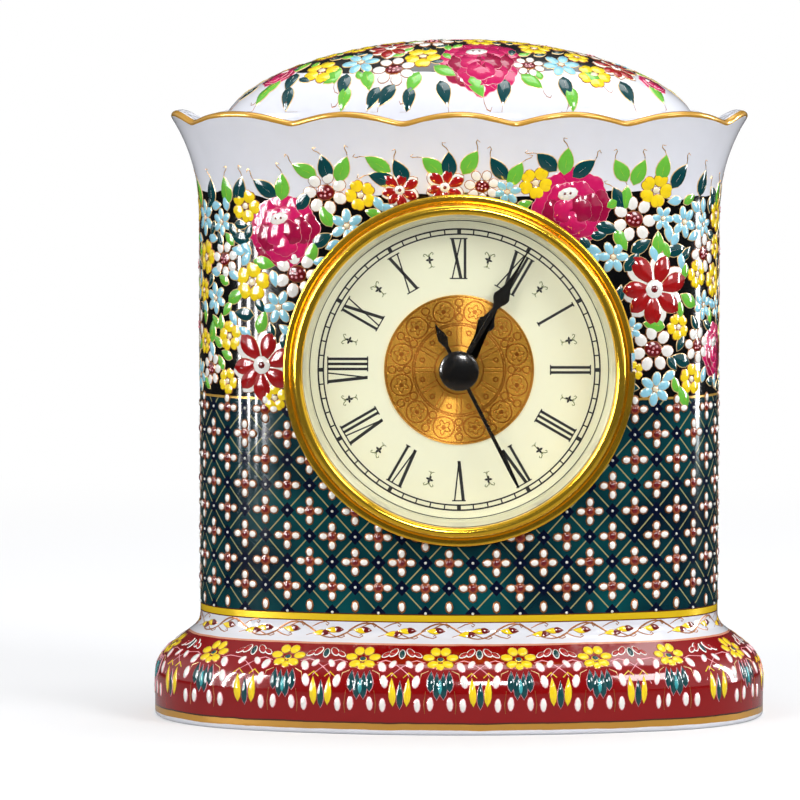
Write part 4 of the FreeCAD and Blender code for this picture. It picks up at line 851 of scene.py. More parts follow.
class Painter:
    """Collects raised shapes in paint colours and turns them into one mesh."""

    def __init__(self, name: str, body: str, slot: str) -> None:
        """Start an empty painting.

        Args:
            name: Name of the finished piece.
            body: The moving body that carries it.
            slot: The record's material slot, which is not used.
        """
        self.name, self.body, self.slot = name, body, slot
        self.points: List[Vector] = []
        self.faces: List[Tuple[int, ...]] = []
        self.paints: List[Paint] = []

    def patch(
        self, spot: Spot, outline: Outline, paint: Paint, rim: Optional[Paint] = None, edge: float = 0.2,
        lift: float = 0.14, crown: float = 0.10,
    ) -> None:
        """Add one raised shape with a sloping edge down into the glaze.

        Args:
            spot: Where it is drawn.
            outline: Its outline in the spot's millimetres.
            paint: Colour of the face.
            rim: Colour of the edge line, or the face's own.
            edge: Width of the edge line.
            lift: Height of the face above the glaze.
            crown: Extra height in the middle.
        """
        count = len(outline)
        middle = (sum(p[0] for p in outline) / count, sum(p[1] for p in outline) / count)
        start = len(self.points)
        self.points.append(spot.put(middle, lift + crown))
        self.points += [spot.put(point, lift) for point in outline]
        for x, y in outline:
            out = (x - middle[0], y - middle[1])
            wide = 1 + edge / spot.grow / (math.hypot(*out) or 1.0)
            self.points.append(spot.put((middle[0] + out[0] * wide, middle[1] + out[1] * wide), SUNK))
        area = sum(a[0] * b[1] - b[0] * a[1] for a, b in zip(outline, outline[1:] + outline[:1]))
        for index in range(count):
            one, two = start + 1 + index, start + 1 + (index + 1) % count
            if area > 0:
                self.faces += [(start, one, two), (one, one + count, two + count, two)]
            else:
                self.faces += [(start, two, one), (two, two + count, one + count, one)]
            self.paints += [paint, rim or paint]

    def line(self, spot: Spot, points: Sequence[Pair], width: float, paint: Paint, lift: float = 0.10) -> None:
        """Add a raised line of constant width that thins out at its ends."""
        start = len(self.points)
        last = len(points) - 1
        for index, (x, y) in enumerate(points):
            before, after = points[max(index - 1, 0)], points[min(index + 1, last)]
            dx, dy = after[0] - before[0], after[1] - before[1]
            size = math.hypot(dx, dy) or 1.0
            half = width / 2 * (0.6 if index in (0, last) else 1.0)
            nx, ny = -dy / size * half, dx / size * half
            for side, level in ((1, SUNK), (0, lift), (-1, SUNK)):
                self.points.append(spot.put((x + side * nx, y + side * ny), level))
        for one in range(start, start + last * 3, 3):
            self.faces += [(one + 1, one, one + 3, one + 4), (one + 2, one + 1, one + 4, one + 5)]
            self.paints += [paint, paint]

    def finish(self, smooth: bool = True) -> Thing:
        """Make the mesh, give it its paints and let it ride on its body."""
        mesh = bpy.data.meshes.new(self.name)
        mesh.from_pydata([tuple(p) for p in self.points], [], self.faces)
        used = sorted({paint.name for paint in self.paints})
        for name in used:
            mesh.materials.append(Paint[name].value.build())
        for polygon, paint in zip(mesh.polygons, self.paints):
            polygon.material_index = used.index(paint.name)
            polygon.use_smooth = smooth
        piece = linked(self.name, mesh)
        attach(piece, self.body)
        return piece


class Motifs:
    """Flowers and leaves of the traditional five-colour pattern."""

    def __init__(self, painter: Painter, seed: int) -> None:
        """Draw with a painter and a fixed seed for small irregularities."""
        self.painter = painter
        self.chance = random.Random(seed)

    def ring(self, reach: float, count: int, start: float) -> List[Triple]:
        """Return evenly turned places round a middle: across, up and direction."""
        turns = [start + 360 * index / count + self.chance.uniform(-3, 3) for index in range(count)]
        return [(*heading(turn, reach), turn) for turn in turns]

    def dot(self, spot: Spot, x: float, y: float, half: float, paint: Paint, edge: float, lift: float) -> None:
        """Draw a small round dot."""
        self.painter.patch(spot, oval(x, y, half, half, 0, 6), paint, edge=edge, lift=lift)

    def daisy(self, spot: Spot, size: float) -> None:
        """Draw white petals round a red heart with pink dots."""
        patch, line = self.painter.patch, self.painter.line
        for x, y, turn in self.ring(0.68 * size, 7, self.chance.uniform(0, 45)):
            patch(spot, oval(x, y, 0.245 * size, 0.29 * size, turn), Paint.WHITE, Paint.BROWN, edge=0.24)
            line(spot, [(x * 0.8, y * 0.8), (x * 1.12, y * 1.12)], 0.14, Paint.CREAM, 0.27)
        patch(spot, oval(0, 0, 0.40 * size, 0.33 * size), Paint.WINE, Paint.BROWN, lift=0.2, edge=0.24)
        for x, y in ((-0.17, 0.1), (0.14, 0.12), (-0.02, -0.14), (0.2, -0.1), (-0.2, -0.12), (0.0, 0.02)):
            self.dot(spot, x * size, y * size, 0.055 * size, Paint.ROSE, 0.05, 0.34)

    def primrose(self, spot: Spot, size: float) -> None:
        """Draw five notched yellow petals with a small heart."""
        patch, line = self.painter.patch, self.painter.line
        for x, y, turn in self.ring(0.57 * size, 5, self.chance.uniform(0, 72)):
            patch(spot, heart(x, y, 0.335 * size, turn), Paint.YELLOW, Paint.BROWN, edge=0.24)
            line(spot, [(x * 0.95, y * 0.95), (x * 1.42, y * 1.42)], 0.2, Paint.BROWN, 0.25)
        patch(spot, oval(0, 0, 0.19 * size, 0.17 * size, 0, 8), Paint.CREAM, Paint.BROWN, lift=0.2)

    def peony(self, spot: Spot, size: float) -> None:
        """Draw a full magenta flower with scalloped, pale-edged petals and a white eye."""
        patch, line = self.painter.patch, self.painter.line
        for row, (reach, wide, tall, count, shift) in enumerate(
            ((0.62, 0.36, 0.32, 8, 0.0), (0.42, 0.33, 0.29, 6, 25.0), (0.20, 0.31, 0.26, 3, 60.0))
        ):
            lift, sink, outer = 0.10 + 0.09 * row, 0.08 * size * row, 1 + 0.25 * tall / reach
            for index, (x, y, turn) in enumerate(self.ring(reach * size, count, shift)):
                paint, vein = (Paint.PINK, Paint.CHERRY) if (index + row) % 3 < 2 else (Paint.CHERRY, Paint.PINK)
                petal = scallop(x, y - sink, wide * size, tall * size, turn)
                patch(spot, petal, paint, Paint.ROSE, edge=0.2, lift=lift, crown=0.015)
                for lean in (-0.4, 0.0, 0.4):
                    b, a = heading(turn, lean * wide * size)
                    inside, outside = (x + a * 0.4, y - sink - b * 0.4), (x * outer + a, y * outer - sink - b)
                    line(spot, [inside, outside], 0.2, vein, lift + 0.03)
        eye = oval(-0.1 * size, 0.33 * size, 0.25 * size, 0.15 * size, -12)
        patch(spot, eye, Paint.WHITE, Paint.ROSE, lift=0.34)
        for x in (-0.18, -0.04):
            self.dot(spot, x * size, 0.34 * size, 0.035 * size, Paint.WINE, 0.04, 0.46)

    def bluebells(self, spot: Spot, size: float) -> None:
        """Draw six pale blue petals round a cream heart."""
        patch, line = self.painter.patch, self.painter.line
        for x, y, turn in self.ring(0.54 * size, 6, self.chance.uniform(0, 60)):
            patch(spot, oval(x, y, 0.235 * size, 0.37 * size, turn), Paint.BLUE, Paint.SAND, edge=0.2)
            line(spot, [(x * 0.5, y * 0.5), (x * 1.1, y * 1.1)], 0.2, Paint.TURQUOISE, 0.26)
        patch(spot, oval(0, 0, 0.16 * size, 0.16 * size, 0, 8), Paint.CREAM, Paint.BROWN, lift=0.22)

    def lily(self, spot: Spot, size: float) -> None:
        """Draw a dark red flower with broad white-lined petals and a white heart."""
        patch = self.painter.patch
        for turn, length, wide in (
            (-100, 0.95, 0.29), (-42, 1.1, 0.33), (14, 1.0, 0.30), (66, 1.08, 0.33), (122, 1.0, 0.31),
            (175, 1.05, 0.32), (-140, 0.95, 0.28),
        ):
            lining = drop(0, 0, length * size, wide * size, turn, 7)
            patch(spot, lining, Paint.WHITE, Paint.BROWN, edge=0.24, crown=0.02)
            x, y = heading(turn, size * length)
            start = (0.08 * x + 0.05 * y, 0.08 * y - 0.05 * x)
            face = drop(*start, 0.86 * length * size, 0.78 * wide * size, turn + 3, 7)
            patch(spot, face, Paint.RED, Paint.SAND, edge=0.16, lift=0.2, crown=0.03)
            curl = [(0.5 * x, 0.5 * y), (0.66 * x + 0.07 * y, 0.66 * y - 0.07 * x), (0.82 * x, 0.82 * y)]
            self.painter.line(spot, curl, 0.3, Paint.WINE, 0.26)
        patch(spot, oval(0, 0, 0.25 * size, 0.25 * size), Paint.WHITE, Paint.BROWN, lift=0.3, edge=0.22)
        patch(spot, oval(0, 0, 0.10 * size, 0.10 * size, 0, 8), Paint.WINE, Paint.ROSE, lift=0.4, edge=0.1)

    def leaf(self, spot: Spot, length: float, paint: Paint, turn: float, whisker: bool = False) -> None:
        """Draw a leaf with a gold edge, a pale stroke along its middle as a painted highlight and, if asked, a gold
        whisker at its tip.
        """
        self.painter.patch(spot, blade(0, 0, length, length * 0.27, turn), paint, Paint.SAND, edge=0.24)
        # Painted highlight: a pale stroke, yellow on green leaves and white on the others, laid along the leaf's
        # middle.
        light = Paint.YELLOW if paint is Paint.GREEN else Paint.SILVER
        x, y = heading(turn, length)
        self.painter.line(spot, [(x * 0.28, y * 0.28), (x * 0.58, y * 0.58)], 0.34, light, 0.26)
        if whisker:
            side = self.chance.choice((-1, 1)) * 0.16
            bends = ((1.0, 0.0), (1.14, 0.5), (1.26, 1.3), (1.36, 1.4), (1.34, 0.6))
            hook = [(x * far + side * out * y, y * far - side * out * x) for far, out in bends]
            self.painter.line(spot, hook, 0.32, Paint.GOLD)

    def draw(self, kind: str, spot: Spot, size: float) -> None:
        """Draw the flower with this name."""
        getattr(self, kind)(spot, size)


# ---------------------------------------------------------------- meshes


class Meshes:
    """Small helpers that turn outlines and sections into meshes."""

    @staticmethod
    def grid(name: str, rows: Sequence[Sequence[Vector]]) -> Thing:
        """Return a mesh of rows of places, joined round and closed at both ends by fans.

        Args:
            name: Name of the object.
            rows: Rows of places in millimetres, from the first end to the last.

        Returns:
            The linked object.
        """
        count = len(rows[0])
        points = [tuple(p * MM) for row in rows for p in row]
        faces: List[Tuple[int, ...]] = []
        for low in range(0, (len(rows) - 1) * count, count):
            for index in range(count):
                after = (index + 1) % count
                faces.append((low + index, low + after, low + count + after, low + count + index))
        for level, step in ((0, -1), (len(rows) - 1, 1)):
            points.append(tuple(sum(rows[level], Vector()) / count * MM))
            for index in range(count):
                ends = (level * count + index, level * count + (index + 1) % count)
                faces.append((*ends[::step], len(points) - 1))
        mesh = bpy.data.meshes.new(name)
        mesh.from_pydata(points, [], faces)
        for polygon in mesh.polygons:
            polygon.use_smooth = True
        return linked(name, mesh)

    @staticmethod
    def lathe(name: str, section: Sequence[Pair], count: int = 192, loop: bool = True) -> Thing:
        """Return a ring or disc turned about the insert's axis.

        Args:
            name: Name of the object.
            section: Radius and depth behind the bezel's seat, in order round the section.
            count: Steps round the axis.
            loop: Whether the section is a closed loop.

        Returns:
            The linked object with its faces outwards.
        """
        face = DialFace(0.0, turn=0.0)
        mesh = bpy.data.meshes.new(name)
        work = bmesh.new()
        rings = []
        for radius, depth in section:
            angles = circle(count) if radius > 1e-6 else [0.0]
            moves = [(radius * math.sin(angle), radius * math.cos(angle)) for angle in angles]
            rings.append([work.verts.new(face.place((0, 0), move, -depth) * MM) for move in moves])
        for one, two in zip(rings, rings[1:] + rings[: int(loop)]):
            if len(one) == len(two) == 1:
                continue
            for index in range(count):
                after = (index + 1) % count
                if len(one) == 1:
                    work.faces.new((one[0], two[index], two[after]))
                elif len(two) == 1:
                    work.faces.new((one[index], two[0], one[after]))
                else:
                    work.faces.new((one[index], two[index], two[after], one[after]))
        for item in work.faces:
            item.smooth = True
        work.to_mesh(mesh)
        work.free()
        Meshes.outwards(mesh)
        return linked(name, mesh)

    @staticmethod
    def plug(name: str, radius: float, front: float, rear: float) -> Thing:
        """Return a round plug on the insert's axis."""
        return Meshes.lathe(name, [(0.0, front), (radius, front), (radius, rear), (0.0, rear)], 128, loop=False)

    @staticmethod
    def apply(thing: Thing, modifier: bpy.types.Modifier) -> None:
        """Replace an object's mesh by what its modifier makes of it."""
        depsgraph = bpy.context.evaluated_depsgraph_get()
        made = bpy.data.meshes.new_from_object(thing.evaluated_get(depsgraph), depsgraph=depsgraph)
        old = thing.data
        thing.modifiers.remove(modifier)
        thing.data = made
        bpy.data.meshes.remove(old)
        made.name = thing.name

    @staticmethod
    def cut(target: Thing, tool: Thing, how: str) -> None:
        """Join or cut two closed meshes; the tool is used up.

        Args:
            target: The mesh that stays.
            tool: The mesh that is added or taken away.
            how: UNION or DIFFERENCE.
        """
        modifier = target.modifiers.new("cut", "BOOLEAN")
        modifier.operation = how
        modifier.object = tool
        modifier.solver = "EXACT"
        Meshes.apply(target, modifier)
        bpy.data.objects.remove(tool, do_unlink=True)

    @staticmethod
    def rework(mesh: bpy.types.Mesh, change: Callable[[bmesh.types.BMesh], None]) -> None:
        """Change a mesh through an editing copy."""
        work = bmesh.new()
        work.from_mesh(mesh)
        change(work)
        work.to_mesh(mesh)
        work.free()

    @staticmethod
    def outwards(mesh: bpy.types.Mesh) -> None:
        """Turn all faces of a closed mesh outwards."""
        Meshes.rework(mesh, lambda work: bmesh.ops.recalc_face_normals(work, faces=work.faces))

    @staticmethod
    def edges(thing: Thing, angle: float) -> None:
        """Smooth a mesh but keep edges sharper than an angle in degrees."""

        def soften(work: bmesh.types.BMesh) -> None:
            """Mark each face and edge."""
            for item in work.faces:
                item.smooth = True
            for edge in work.edges:
                if len(edge.link_faces) == 2:
                    edge.smooth = edge.calc_face_angle(0.0) < math.radians(angle)

        Meshes.rework(thing.data, soften)


# ---------------------------------------------------------------- the porcelain case


@dataclass
class PorcelainCase:
    """The slip-cast case: wall, fluted flare, lip, gutter, dome, foot ring, cavity and bore."""

    skin: CaseSkin = field(default_factory=CaseSkin)
    columns: int = 336
    inner_columns: int = 96
    wall: float = 4.0
    foot_ring: float = 6.0
    foot_recess: float = 2.5
    floor: float = 4.0
    vent: float = 6.0
    collar: float = 44.4
    bore: float = 41.7
    collar_depth: float = 15.0
    lip_crown: float = 1.1
    dome_steps: int = 34

    def around(self, count: int) -> List[float]:
        """Return evenly spaced lengths round the plan."""
        return [self.skin.plan.whole * index / count for index in range(count)]

    def row(
        self, offset: float, height: float, scale: float = 1.0, scallop_share: float = 0.0, count: int = 0
    ) -> List[Vector]:
        """Return one row of places round the plan.

        Args:
            offset: Distance outwards from the plan.
            height: Height of the row.
            scale: Share of the plan's size.
            scallop_share: How far the row follows the scallops of the rim.
            count: Number of places, or 0 for the outside's own.

        Returns:
            The places.
        """
        skin = self.skin
        row = []
        for length in self.around(count or self.columns):
            angle = skin.plan.angle_at(length)
            fall = (1 - skin.plan.swell(angle)) * scallop_share
            x, y = skin.plan.point(angle, offset - skin.flute * fall, scale)
            row.append(Vector((x, y, height - skin.lift * fall)))
        return row

    def foot_rows(self) -> List[List[Vector]]:
        """Return the rows of the recessed floor and the foot ring's inner side, from the middle out."""
        inner, recess = self.skin.plinth_spread - self.foot_ring, self.foot_recess
        places = (
            (inner, recess, 0.3), (inner, recess, 0.7), (inner - 0.6, recess), (inner, recess - 0.5),
            (inner, 0.4), (inner + 0.4, 0.0), (self.skin.plinth_spread - 3.0, 0.0),
        )
        return [self.row(*place) for place in places]

    def lip_rows(self) -> List[List[Vector]]:
        """Return the rows over the rolled lip and down into the gutter to the dome's foot."""
        skin = self.skin
        rows = []
        half, gutter_rim = skin.lip_thickness / 2, -1.0
        for step in range(1, 9):
            up, out = heading(180 * step / 8)
            offset, height = skin.lip_spread - half + half * out, skin.lip_height + self.lip_crown * up
            rows.append(self.row(offset, height, 1.0, 1.0))
        for share in (step / 8 for step in range(1, 9)):
            offset = lerp(skin.lip_spread - skin.lip_thickness, gutter_rim, share)
            height = lerp(skin.lip_height, skin.gutter_height, share * share * (3 - 2 * share))
            rows.append(self.row(offset, height, 1.0, 1 - share))
        for share in (0.25, 0.5, 0.75):
            rows.append(self.row(lerp(gutter_rim, -skin.dome_inset + 0.2, share), skin.gutter_height + 0.02))
        return rows

    def dome_rows(self) -> List[List[Vector]]:
        """Return the rows of the dome from its foot to near its top."""
        skin = self.skin
        rows = [self.row(-skin.dome_inset, lerp(skin.gutter_height, skin.dome_foot, s)) for s in (0.15, 0.6)]
        for step in range(self.dome_steps):
            share = math.cos(math.pi / 2 * step / self.dome_steps)
            rows.append(self.row(-skin.dome_inset, skin.dome_rise(share), share))
        return rows

    def outer(self) -> Thing:
        """Make the closed outer form, with lengths round and along it as its UV map."""
        skin, count = self.skin, self.columns
        foot, lip, dome = self.foot_rows(), self.lip_rows(), self.dome_rows()
        side = [[skin.raw(length, along) for length in self.around(count)] for along in skin.lengths]
        rows = foot + side + lip + dome
        levels = [0.0] * len(foot) + skin.lengths
        levels += [skin.lengths[-1] + 0.9 * (step + 1) for step in range(len(lip))]
        levels += [CaseGlaze.dome_start + 100.0 * step / len(dome) for step in range(len(dome))]
        levels += [0.0, CaseGlaze.dome_start + 100.0]
        case = Meshes.grid("case_shell", rows)
        layer = case.data.uv_layers.new(name="glaze")
        for polygon in case.data.polygons:
            place = polygon.index % count
            for corner in polygon.loop_indices:
                index = case.data.loops[corner].vertex_index
                level, column = divmod(index, count)
                if level >= len(rows):
                    level, column = index - len(rows) * (count - 1), place
                share = 1.0 if place == count - 1 and column == 0 else column / count
                layer.data[corner].uv = (share * skin.plan.whole * MM, levels[level] * MM)
        return case

    def cavity(self) -> Thing:
        """Make the hollow of the case as a closed form."""
        skin, wall = self.skin, self.wall
        inner, inset = skin.plinth_spread - wall, skin.dome_inset + wall
        ceiling, shoulder = skin.gutter_height - wall, 26.4
        places = [
            (inner, self.foot_recess + self.floor), (inner, skin.plinth_side), (-wall, shoulder), (-wall, ceiling),
            (-inset, ceiling + 0.01), (-inset, skin.dome_foot),
        ]
        places += [(-inset, skin.dome_rise(share, wall), share) for share in (0.98, 0.9, 0.75, 0.55, 0.3)]
        return Meshes.grid("case_cavity", [self.row(*place, count=self.inner_columns) for place in places])

    def build(self) -> None:
        """Make the case and let it stand for its CAD node."""
        case = self.outer()
        chamfer, depth = 0.4, self.collar_depth
        front = [(0.0, 0.0), (self.collar - chamfer, 0.0), (self.collar, chamfer), (self.collar, 8.0), (0.0, 8.0)]
        ring = oval(0, 0, self.vent, self.vent, 0, 48)
        vent = [[Vector((x, y, z)) for x, y in ring] for z in (-1.0, 9.0)]
        for tool, how in (
            (Meshes.lathe("collar", front, 128, loop=False), "UNION"),
            (self.cavity(), "DIFFERENCE"),
            (Meshes.plug("collar_tube", self.collar - 0.3, 1.5, depth), "UNION"),
            (Meshes.plug("bore", self.bore, -3.0, depth + 2.0), "DIFFERENCE"),
            (Meshes.grid("vent", vent), "DIFFERENCE"),
        ):
            Meshes.cut(case, tool, how)
        Meshes.edges(case, 50.0)
        case.name = "porcelain_body"
        case.data.materials.clear()
        case.data.materials.append(CaseGlaze(self.skin).build())
        attach(case, "case", "porcelain_case")


@dataclass
class CaseGlaze:
    """The ground colours and gilded bands under the raised flowers, read from the glaze UV map."""

    skin: CaseSkin
    columns: int = 28
    row_pitch: float = 13.0
    shift: float = 2.5
    lattice_low: float = 30.0
    dome_start: float = 400.0
    white: Colour = srgb(228, 229, 236)
    black: Colour = srgb(8, 8, 9)

    def build(self) -> bpy.types.Material:
        """Return the material of the whole case."""
        material, kit = NodeKit.start("painted_porcelain")
        uv = kit.split(kit.add("ShaderNodeUVMap", uv_map="glaze").outputs[0])
        around, along = (kit.math("MULTIPLY", uv[axis], 1000.0) for axis in (0, 1))
        place = kit.add("ShaderNodeTexCoord").outputs["Object"]
        waver, coarse = kit.noise(place, 160.0), kit.noise(place, 45.0)
        level = kit.math("ADD", along, kit.math("MULTIPLY_ADD", waver, 0.5, -0.25))
        teal = kit.mix(kit.math("MULTIPLY_ADD", coarse, 2.4, -0.7), srgb(2, 18, 36), srgb(4, 72, 76))
        lines, crossings = self.diamond(kit, around, along)
        lattice = kit.mix(lines, kit.mix(crossings, teal, srgb(3, 12, 40)), srgb(160, 152, 104))
        colour, gold, at = self.white, 0.0, self.skin.along_at
        for way, low, high, paint, gilt in (
            (level, 1.3, 2.9, srgb(205, 150, 58), True),
            (level, 2.9, 3.3, srgb(70, 24, 10), False),
            (level, 3.3, 22.1, srgb(138, 2, 4), False),
            (level, 22.1, 22.5, srgb(220, 150, 120), False),
            (along, 27.6, 27.9, srgb(100, 40, 10), False),
            (along, 27.9, 29.5, srgb(255, 214, 30), True),
            (along, 29.5, 29.8, srgb(86, 44, 10), False),
            (along, 29.8, 84.4, lattice, False),
            (along, 84.4, 85.0, srgb(206, 160, 70), True),
        ):
            band = kit.between(way, at(low), at(high))
            colour = kit.mix(band, colour, paint)
            gold = kit.most(gold, band) if gilt else gold
        shore = kit.math("MULTIPLY_ADD", coarse, 7.0, at(133.5))
        colour = kit.mix(kit.between(along, at(85.0), shore), colour, self.black)
        rim = kit.between(level, self.skin.lengths[-1] - 0.5, self.skin.lengths[-1] + 3.1)
        colour = kit.mix(rim, colour, srgb(212, 158, 60))
        shore = kit.math("MULTIPLY_ADD", coarse, 14.0, self.dome_start + 42.0)
        colour = kit.mix(kit.math("GREATER_THAN", along, shore), colour, self.black)
        x, y, z = kit.split(place)
        reach = kit.length(x, kit.math("SUBTRACT", z, self.skin.dial_height * MM))
        # Painted shade: the collar's wall and a thin ring of body just outside the bezel are painted black, standing
        # in for the shade between the bezel and the body.
        collar = kit.math("MULTIPLY", kit.between(reach, 0.0425, 0.0455), kit.math("LESS_THAN", y, -0.022))
        vary = kit.mottled({
            "Color": kit.mix(collar, colour, self.black), "Scale": 260.0, "Tone": 0.05, "Roughness": 0.10,
            "Spread": 0.05,
        })
        gold = kit.most(gold, rim)
        kit.shade({
            "Base Color": vary["Color"],
            "Metallic": kit.math("MULTIPLY", gold, 0.35),
            "Roughness": kit.math("MULTIPLY_ADD", gold, 0.12, vary["Roughness"]),
            "Coat Weight": 0.35,
            "Coat Roughness": 0.03,
            "IOR": 1.52,
        })
        kit.bump(waver, 0.06, 0.0003)
        return material

    def diamond(self, kit: NodeKit, around: Socket, along: Socket) -> Tuple[Socket, Socket]:
        """Return the masks of the lattice's lines and of its darker crossings."""
        pitch = self.skin.plan.whole / self.columns
        start = self.skin.along_at(self.lattice_low)
        u = kit.math("MULTIPLY_ADD", around, 1 / pitch, self.shift / pitch)
        v = kit.math("MULTIPLY_ADD", along, 1 / self.row_pitch, -start / self.row_pitch)
        away = []
        for sign in (1.0, -1.0):
            total = kit.math("ADD", u, kit.math("MULTIPLY", v, sign))
            away.append(kit.math("ABSOLUTE", kit.math("SUBTRACT", kit.math("FRACT", total), 0.5)))
        line = kit.most(*(kit.math("LESS_THAN", gap, 0.018) for gap in away))
        crossing = kit.math("MULTIPLY", *(kit.math("LESS_THAN", gap, 0.16) for gap in away))
        return kit.math("MULTIPLY", line, kit.math("SUBTRACT", 1.0, crossing)), crossing


# ---------------------------------------------------------------- repeated beads and bars


Bead = Tuple[Vector, Vector, Vector, Triple]


class Fields:
    """Geometry Nodes trees that set many equal pieces on given places."""

    @staticmethod
    def start(name: str, inputs: Sequence[Tuple[str, str, object]]) -> NodeKit:
        """Start a tree with a shape and a paint going in beside these inputs, and a shape coming out.

        Args:
            name: Name of the tree.
            inputs: Name, kind and first value of each input.
        """
        tree = bpy.data.node_groups.new(name, "GeometryNodeTree")
        face = tree.interface
        face.new_socket("Geometry", in_out="INPUT", socket_type="NodeSocketGeometry")
        for label, kind, value in inputs:
            face.new_socket(label, in_out="INPUT", socket_type="NodeSocket" + kind).default_value = value
        face.new_socket("Paint", in_out="INPUT", socket_type="NodeSocketMaterial")
        face.new_socket("Geometry", in_out="OUTPUT", socket_type="NodeSocketGeometry")
        return NodeKit(tree)

    @staticmethod
    def end(kit: NodeKit, values: Dict[object, object], paint: Socket, smooth: bool) -> bpy.types.NodeTree:
        """Set the copies on their points, make them real and paint them.

        Args:
            values: Points, copy, turn and size.
            paint: The material.
            smooth: Whether the faces are shaded smooth.

        Returns:
            The finished tree.
        """
        copies = kit.add("GeometryNodeInstanceOnPoints", values).outputs["Instances"]
        real = kit.add("GeometryNodeRealizeInstances", {0: copies}).outputs[0]
        if smooth:
            real = kit.add("GeometryNodeSetShadeSmooth", {"Geometry": real}).outputs[0]
        painted = kit.add("GeometryNodeSetMaterial", {"Geometry": real, "Material": paint}).outputs[0]
        kit.add("NodeGroupOutput", {0: painted})
        return kit.tree

    @classmethod
    def bead_tree(cls) -> bpy.types.NodeTree:
        """Return the tree that sets one flattened bead on every point, turned and sized by attributes."""
        known = bpy.data.node_groups.get("bead_field")
        if known:
            return known
        kit = cls.start("bead_field", (("Sides", "Int", 10), ("Steps", "Int", 4), ("Unit", "Float", MM)))
        source = kit.add("NodeGroupInput").outputs
        sizes = {"Segments": source["Sides"], "Rings": source["Steps"], "Radius": source["Unit"]}
        bead = kit.add("GeometryNodeMeshUVSphere", sizes).outputs["Mesh"]
        aim, span = (
            kit.add("GeometryNodeInputNamedAttribute", {"Name": name}, data_type="FLOAT_VECTOR").outputs["Attribute"]
            for name in ("aim", "span")
        )
        turn = kit.add("FunctionNodeEulerToRotation", {0: aim}).outputs[0]
        values = {"Points": source["Geometry"], "Instance": bead, "Rotation": turn, "Scale": span}
        return cls.end(kit, values, source["Paint"], True)

    @classmethod
    def bar_tree(cls) -> bpy.types.NodeTree:
        """Return the tree that sets equal bars round a circle in the XY plane."""
        known = bpy.data.node_groups.get("ring_of_bars")
        if known:
            return known
        inputs = (("Count", "Int", 60), ("Radius", "Float", 0.03), ("Bar", "Vector", (MM, MM, MM)))
        kit = cls.start("ring_of_bars", inputs)
        source = kit.add("NodeGroupInput").outputs
        ring = kit.add("GeometryNodeMeshCircle", {"Vertices": source["Count"], "Radius": source["Radius"]})
        bar = kit.add("GeometryNodeMeshCube", {"Size": source["Bar"]}).outputs["Mesh"]
        share = kit.math("DIVIDE", kit.add("GeometryNodeInputIndex").outputs[0], source["Count"])
        turn = kit.add("ShaderNodeCombineXYZ", {"Z": kit.math("MULTIPLY", share, math.tau)}).outputs[0]
        values = {"Points": ring.outputs["Mesh"], "Instance": bar, "Rotation": turn}
        return cls.end(kit, values, source["Paint"], False)

    @staticmethod
    def run(name: str, mesh: bpy.types.Mesh, tree: bpy.types.NodeTree, values: Dict[str, object]) -> Thing:
        """Run a tree on a mesh and return its result as a plain mesh object.

        Args:
            name: Name of the finished object.
            mesh: What the tree starts from.
            tree: The Geometry Nodes tree.
            values: Values of its named inputs.

        Returns:
            The linked object without modifiers.
        """
        thing = linked(name, mesh)
        modifier = thing.modifiers.new("pattern", "NODES")
        modifier.node_group = tree
        for item in tree.interface.items_tree:
            if item.item_type == "SOCKET" and item.in_out == "INPUT" and item.name in values:
                modifier[item.identifier] = values[item.name]
        Meshes.apply(thing, modifier)
        return thing

    @classmethod
    def beads(cls, name: str, places: Sequence[Bead], paint: Paint) -> None:
        """Set beads of one paint on the case.

        Args:
            name: Name of the piece.
            places: Point, surface normal, up direction and half sizes in millimetres of each bead.
            paint: Their paint.
        """
        mesh = bpy.data.meshes.new(name + "_places")
        mesh.from_pydata([tuple(place[0] * MM) for place in places], [], [])
        aim = mesh.attributes.new("aim", "FLOAT_VECTOR", "POINT")
        span = mesh.attributes.new("span", "FLOAT_VECTOR", "POINT")
        for index, (_, normal, up, size) in enumerate(places):
            side = up.cross(normal).normalized()
            aim.data[index].vector = Matrix((side, normal.cross(side), normal)).transposed().to_euler()
            span.data[index].vector = size
        values = {"Sides": 8, "Steps": 4, "Unit": MM, "Paint": paint.value.build()}
        attach(cls.run(name, mesh, cls.bead_tree(), values), "case")


# ---------------------------------------------------------------- decoration of the case


